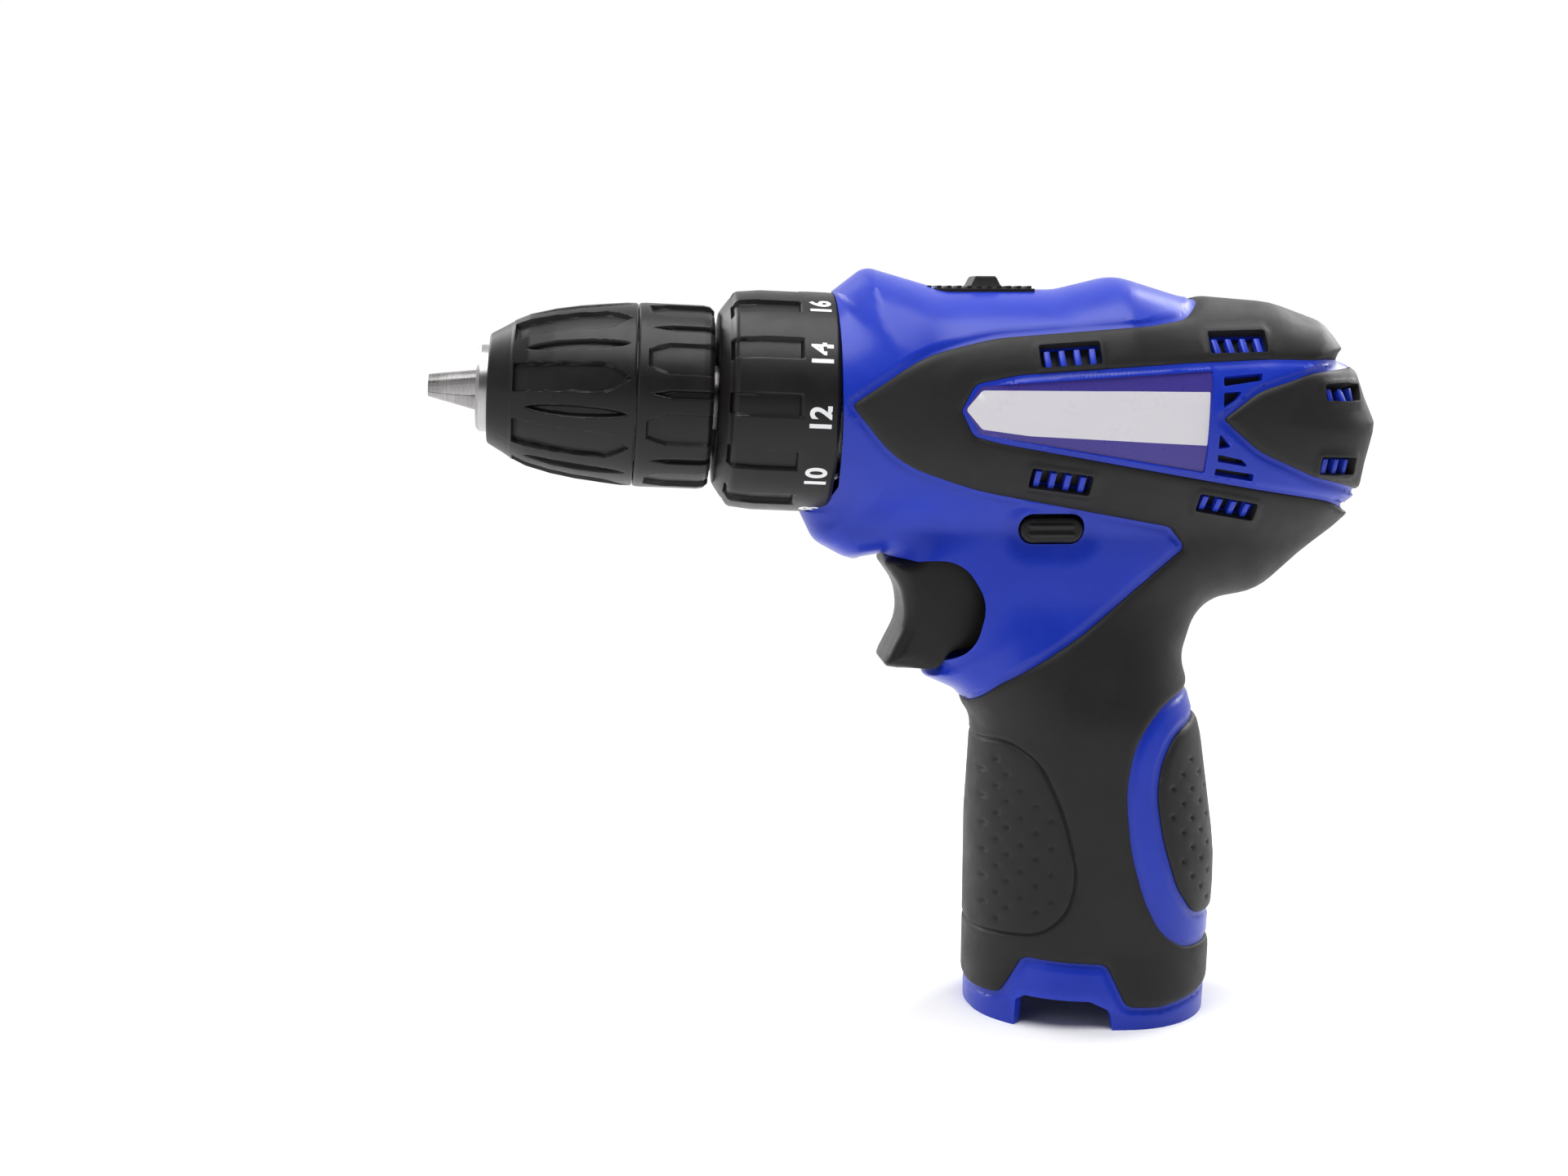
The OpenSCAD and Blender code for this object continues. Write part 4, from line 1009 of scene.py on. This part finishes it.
# An open tube on each point: the deep seat of a screw
def wellTree():
    tree = NodeTree("wells", {"Radius": ("NodeSocketFloat", 0.0026), "Depth": ("NodeSocketFloat", 0.01),
                              "Wall": ("NodeSocketFloat", 0.0004), "Finish": ("NodeSocketMaterial", None)})
    line = tree.node("GeometryNodeCurvePrimitiveCircle", {"mode": "RADIUS"}, {
        "Resolution": 32, "Radius": tree.start.outputs["Radius"]})
    profile = tree.node("GeometryNodeCurvePrimitiveQuadrilateral", {"mode": "RECTANGLE"}, {
        "Width": tree.start.outputs["Wall"], "Height": tree.start.outputs["Depth"]})
    tube = tree.node("GeometryNodeCurveToMesh", {}, {
        "Curve": line.outputs[0], "Profile Curve": profile.outputs[0]})
    return tree.close(instanced(tree, tube.outputs[0]))


bars, tubes = barTree(), wellTree()


# The point of the skin at (x, z), with the directions out of it, up it, and the turn of a part that
# stands on it: its local X runs along the vent and its local Z points out
def turnOnSkin(x, z, lean, side):
    y = halfWidth(np.array([[x, z], [x + 0.5, z], [x, z + 0.5]]))
    alongX = np.array([0.5, side * (y[1] - y[0]), 0])
    alongZ = np.array([0, side * (y[2] - y[0]), 0.5])
    out = np.cross(alongX, alongZ)
    out = out / np.linalg.norm(out) * (1 if out[1] * side > 0 else -1)
    length = alongX / np.linalg.norm(alongX) * math.cos(math.radians(lean)) \
        + alongZ / np.linalg.norm(alongZ) * math.sin(math.radians(lean))
    length -= out * (length @ out)
    length /= np.linalg.norm(length)
    across = np.cross(out, length)
    turn = Matrix([[length[i], across[i], out[i]] for i in range(3)])
    return np.array([x, side * y[0], z]), out, across, turn.to_euler()


combShape = {"ribs": 4, "capRibs": 3, "ribWidth": 1.3, "ribDepth": 1.8, "sink": 0.2, "reach": 0.76,
             "bevel": 0.18, "linerGap": 0.5, "linerThick": 0.6, "linerReach": 1.2, "linerFrom": 95}


def combPlaces(c, side, onCap):
    rows = []
    count = c["capRibs"] if onCap else c["ribs"]
    for x, z, length, height, lean in [v[:5] for v in vents if v[5] == onCap]:
        for k in range(count):
            at = (k - (count - 1) / 2) * (length - 0.4) / count
            dx, dz = at * math.cos(math.radians(lean)), at * math.sin(math.radians(lean))
            point, out, across, turn = turnOnSkin(x + dx, z + dz, lean, side)
            drop = (1 - c["reach"]) / 2 * height * (-1 if across[2] > 0 else 1)
            place = point - out * (c["sink"] + c["ribDepth"] / 2) + across * drop
            rows.append((place, tuple(turn), (1.0, height * c["reach"] * 1.15, 1.0)))
    return rows


behind = np.minimum.reduce([toLoop(middle, holes[n]) for n in holes if n != "button"])
for side, sideName in sideNames.items():
    for onCap, owner in ((False, "Vent"), (True, "CapVent")):
        repeated(sideName + owner + "Ribs", combPlaces(combShape, side, onCap), bars,
                 {"Width": combShape["ribWidth"] * mm, "Length": mm, "Height": combShape["ribDepth"] * mm},
                 "bluePlastic", "drill", bevel=combShape["bevel"])
    chosen = ventHole | cellHole | (behind < combShape["linerReach"])
    linerTop = -bodyShape["wall"] - combShape["linerGap"]
    liner = shell(chosen & (middle[:, 1] > combShape["linerFrom"]), linerTop,
                  linerTop - combShape["linerThick"], side)
    addPiece(sideName + "VentLiner", liner, "drill", ["casePlastic"])

wellShape = {"radius": 2.72, "wall": 0.5, "floor": 6.4, "proud": -0.35, "rimTurns": (0.8, 2.4, 3.9, 5.5)}


# Each screw's deep seat: a tube from the skin down to the boss inside
def wellPlaces(c):
    rows = []
    for x, z in screwPlaces:
        rim = [(x + c["radius"] * math.cos(w), z + c["radius"] * math.sin(w)) for w in c["rimTurns"]]
        top = halfWidth(np.array(rim)).min() + c["proud"]
        if top > c["floor"] + 1:
            rows.append(((x, (top + c["floor"]) / 2, z), (-math.pi / 2, 0, 0), (1, 1, top - c["floor"])))
    return rows


repeated("screwWells", wellPlaces(wellShape), tubes,
         {"Radius": (wellShape["radius"] + wellShape["wall"] / 2) * mm, "Depth": mm,
          "Wall": wellShape["wall"] * mm}, "casePlastic", "drill")

selectorShape = {"start": -37.4, "end": -13.2, "width": 12.0, "top": 158.5, "thick": 1.6, "ridges": 11,
                 "ridgeWidth": 1.0, "ridgeRise": 0.6, "knob": (-26.2, -21.4, 161.2, 9.4), "bevel": 0.16,
                 # the knob's layers: height over its foot or under its crown, flare along, flare across
                 "knobFoot": [(0, 1.6, 0.5), (1.1, 0.7, 0.0)],
                 "knobCrown": [(0.4, 0.0, -0.1), (0, -0.35, -0.4)]}


# The speed selector: a thin plate, a row of fine ridges, and a knob with sloping sides
def makeSelector(c):
    level, length = (0, 0, 0), c["end"] - c["start"]
    rows = [(((c["start"] + c["end"]) / 2, 0, c["top"] - c["thick"] / 2), level,
             (length, c["width"], c["thick"]))]
    pitch = length / c["ridges"]
    rows += [((c["start"] + pitch * (k + 0.5), 0, c["top"] + c["ridgeRise"] / 2 - 0.15), level,
              (c["ridgeWidth"], c["width"] - 1.4, c["ridgeRise"] + 0.3)) for k in range(c["ridges"])]
    repeated("selectorPlate", rows, bars, {"Width": mm, "Length": mm, "Height": mm}, "blackPlastic",
             "selector", bevel=c["bevel"], replaced=["speed_selector"])
    start, end, crown, wide = c["knob"]
    low = c["top"] - 0.2
    layers = [(low + up, *flares) for up, *flares in c["knobFoot"]]
    layers += [(crown - down, *flares) for down, *flares in c["knobCrown"]]
    points, faces = [], []
    for z, flare, flareY in layers:
        left, right, half = start - flare, end + flare, wide / 2 + flareY
        points += [(left, -half, z), (right, -half, z), (right, half, z), (left, half, z)]
    for k in range(len(layers) - 1):
        faces += [(k * 4 + i, k * 4 + (i + 1) % 4, k * 4 + 4 + (i + 1) % 4, k * 4 + 4 + i) for i in range(4)]
    faces += [(3, 2, 1, 0), (12, 13, 14, 15)]
    addPiece("selectorKnob", (np.array(points), faces), "selector", ["blackPlastic"])


makeSelector(selectorShape)
print("vents and selector made")


# ---- plain CAD nodes keep their shape and take a finish by slot ----

finishOf = {slot: look for look, slot in slotOf.items() if look != "whiteInk"}
nodeSlots = {row["node"]: row["material_slot"] for row in frame["record"]["subparts"]}
for node, thing in frame["nodes"].items():
    thing.data.materials.clear()
    thing.data.materials.append(finishes[finishOf[nodeSlots[node]]])
print("CAD nodes finished")
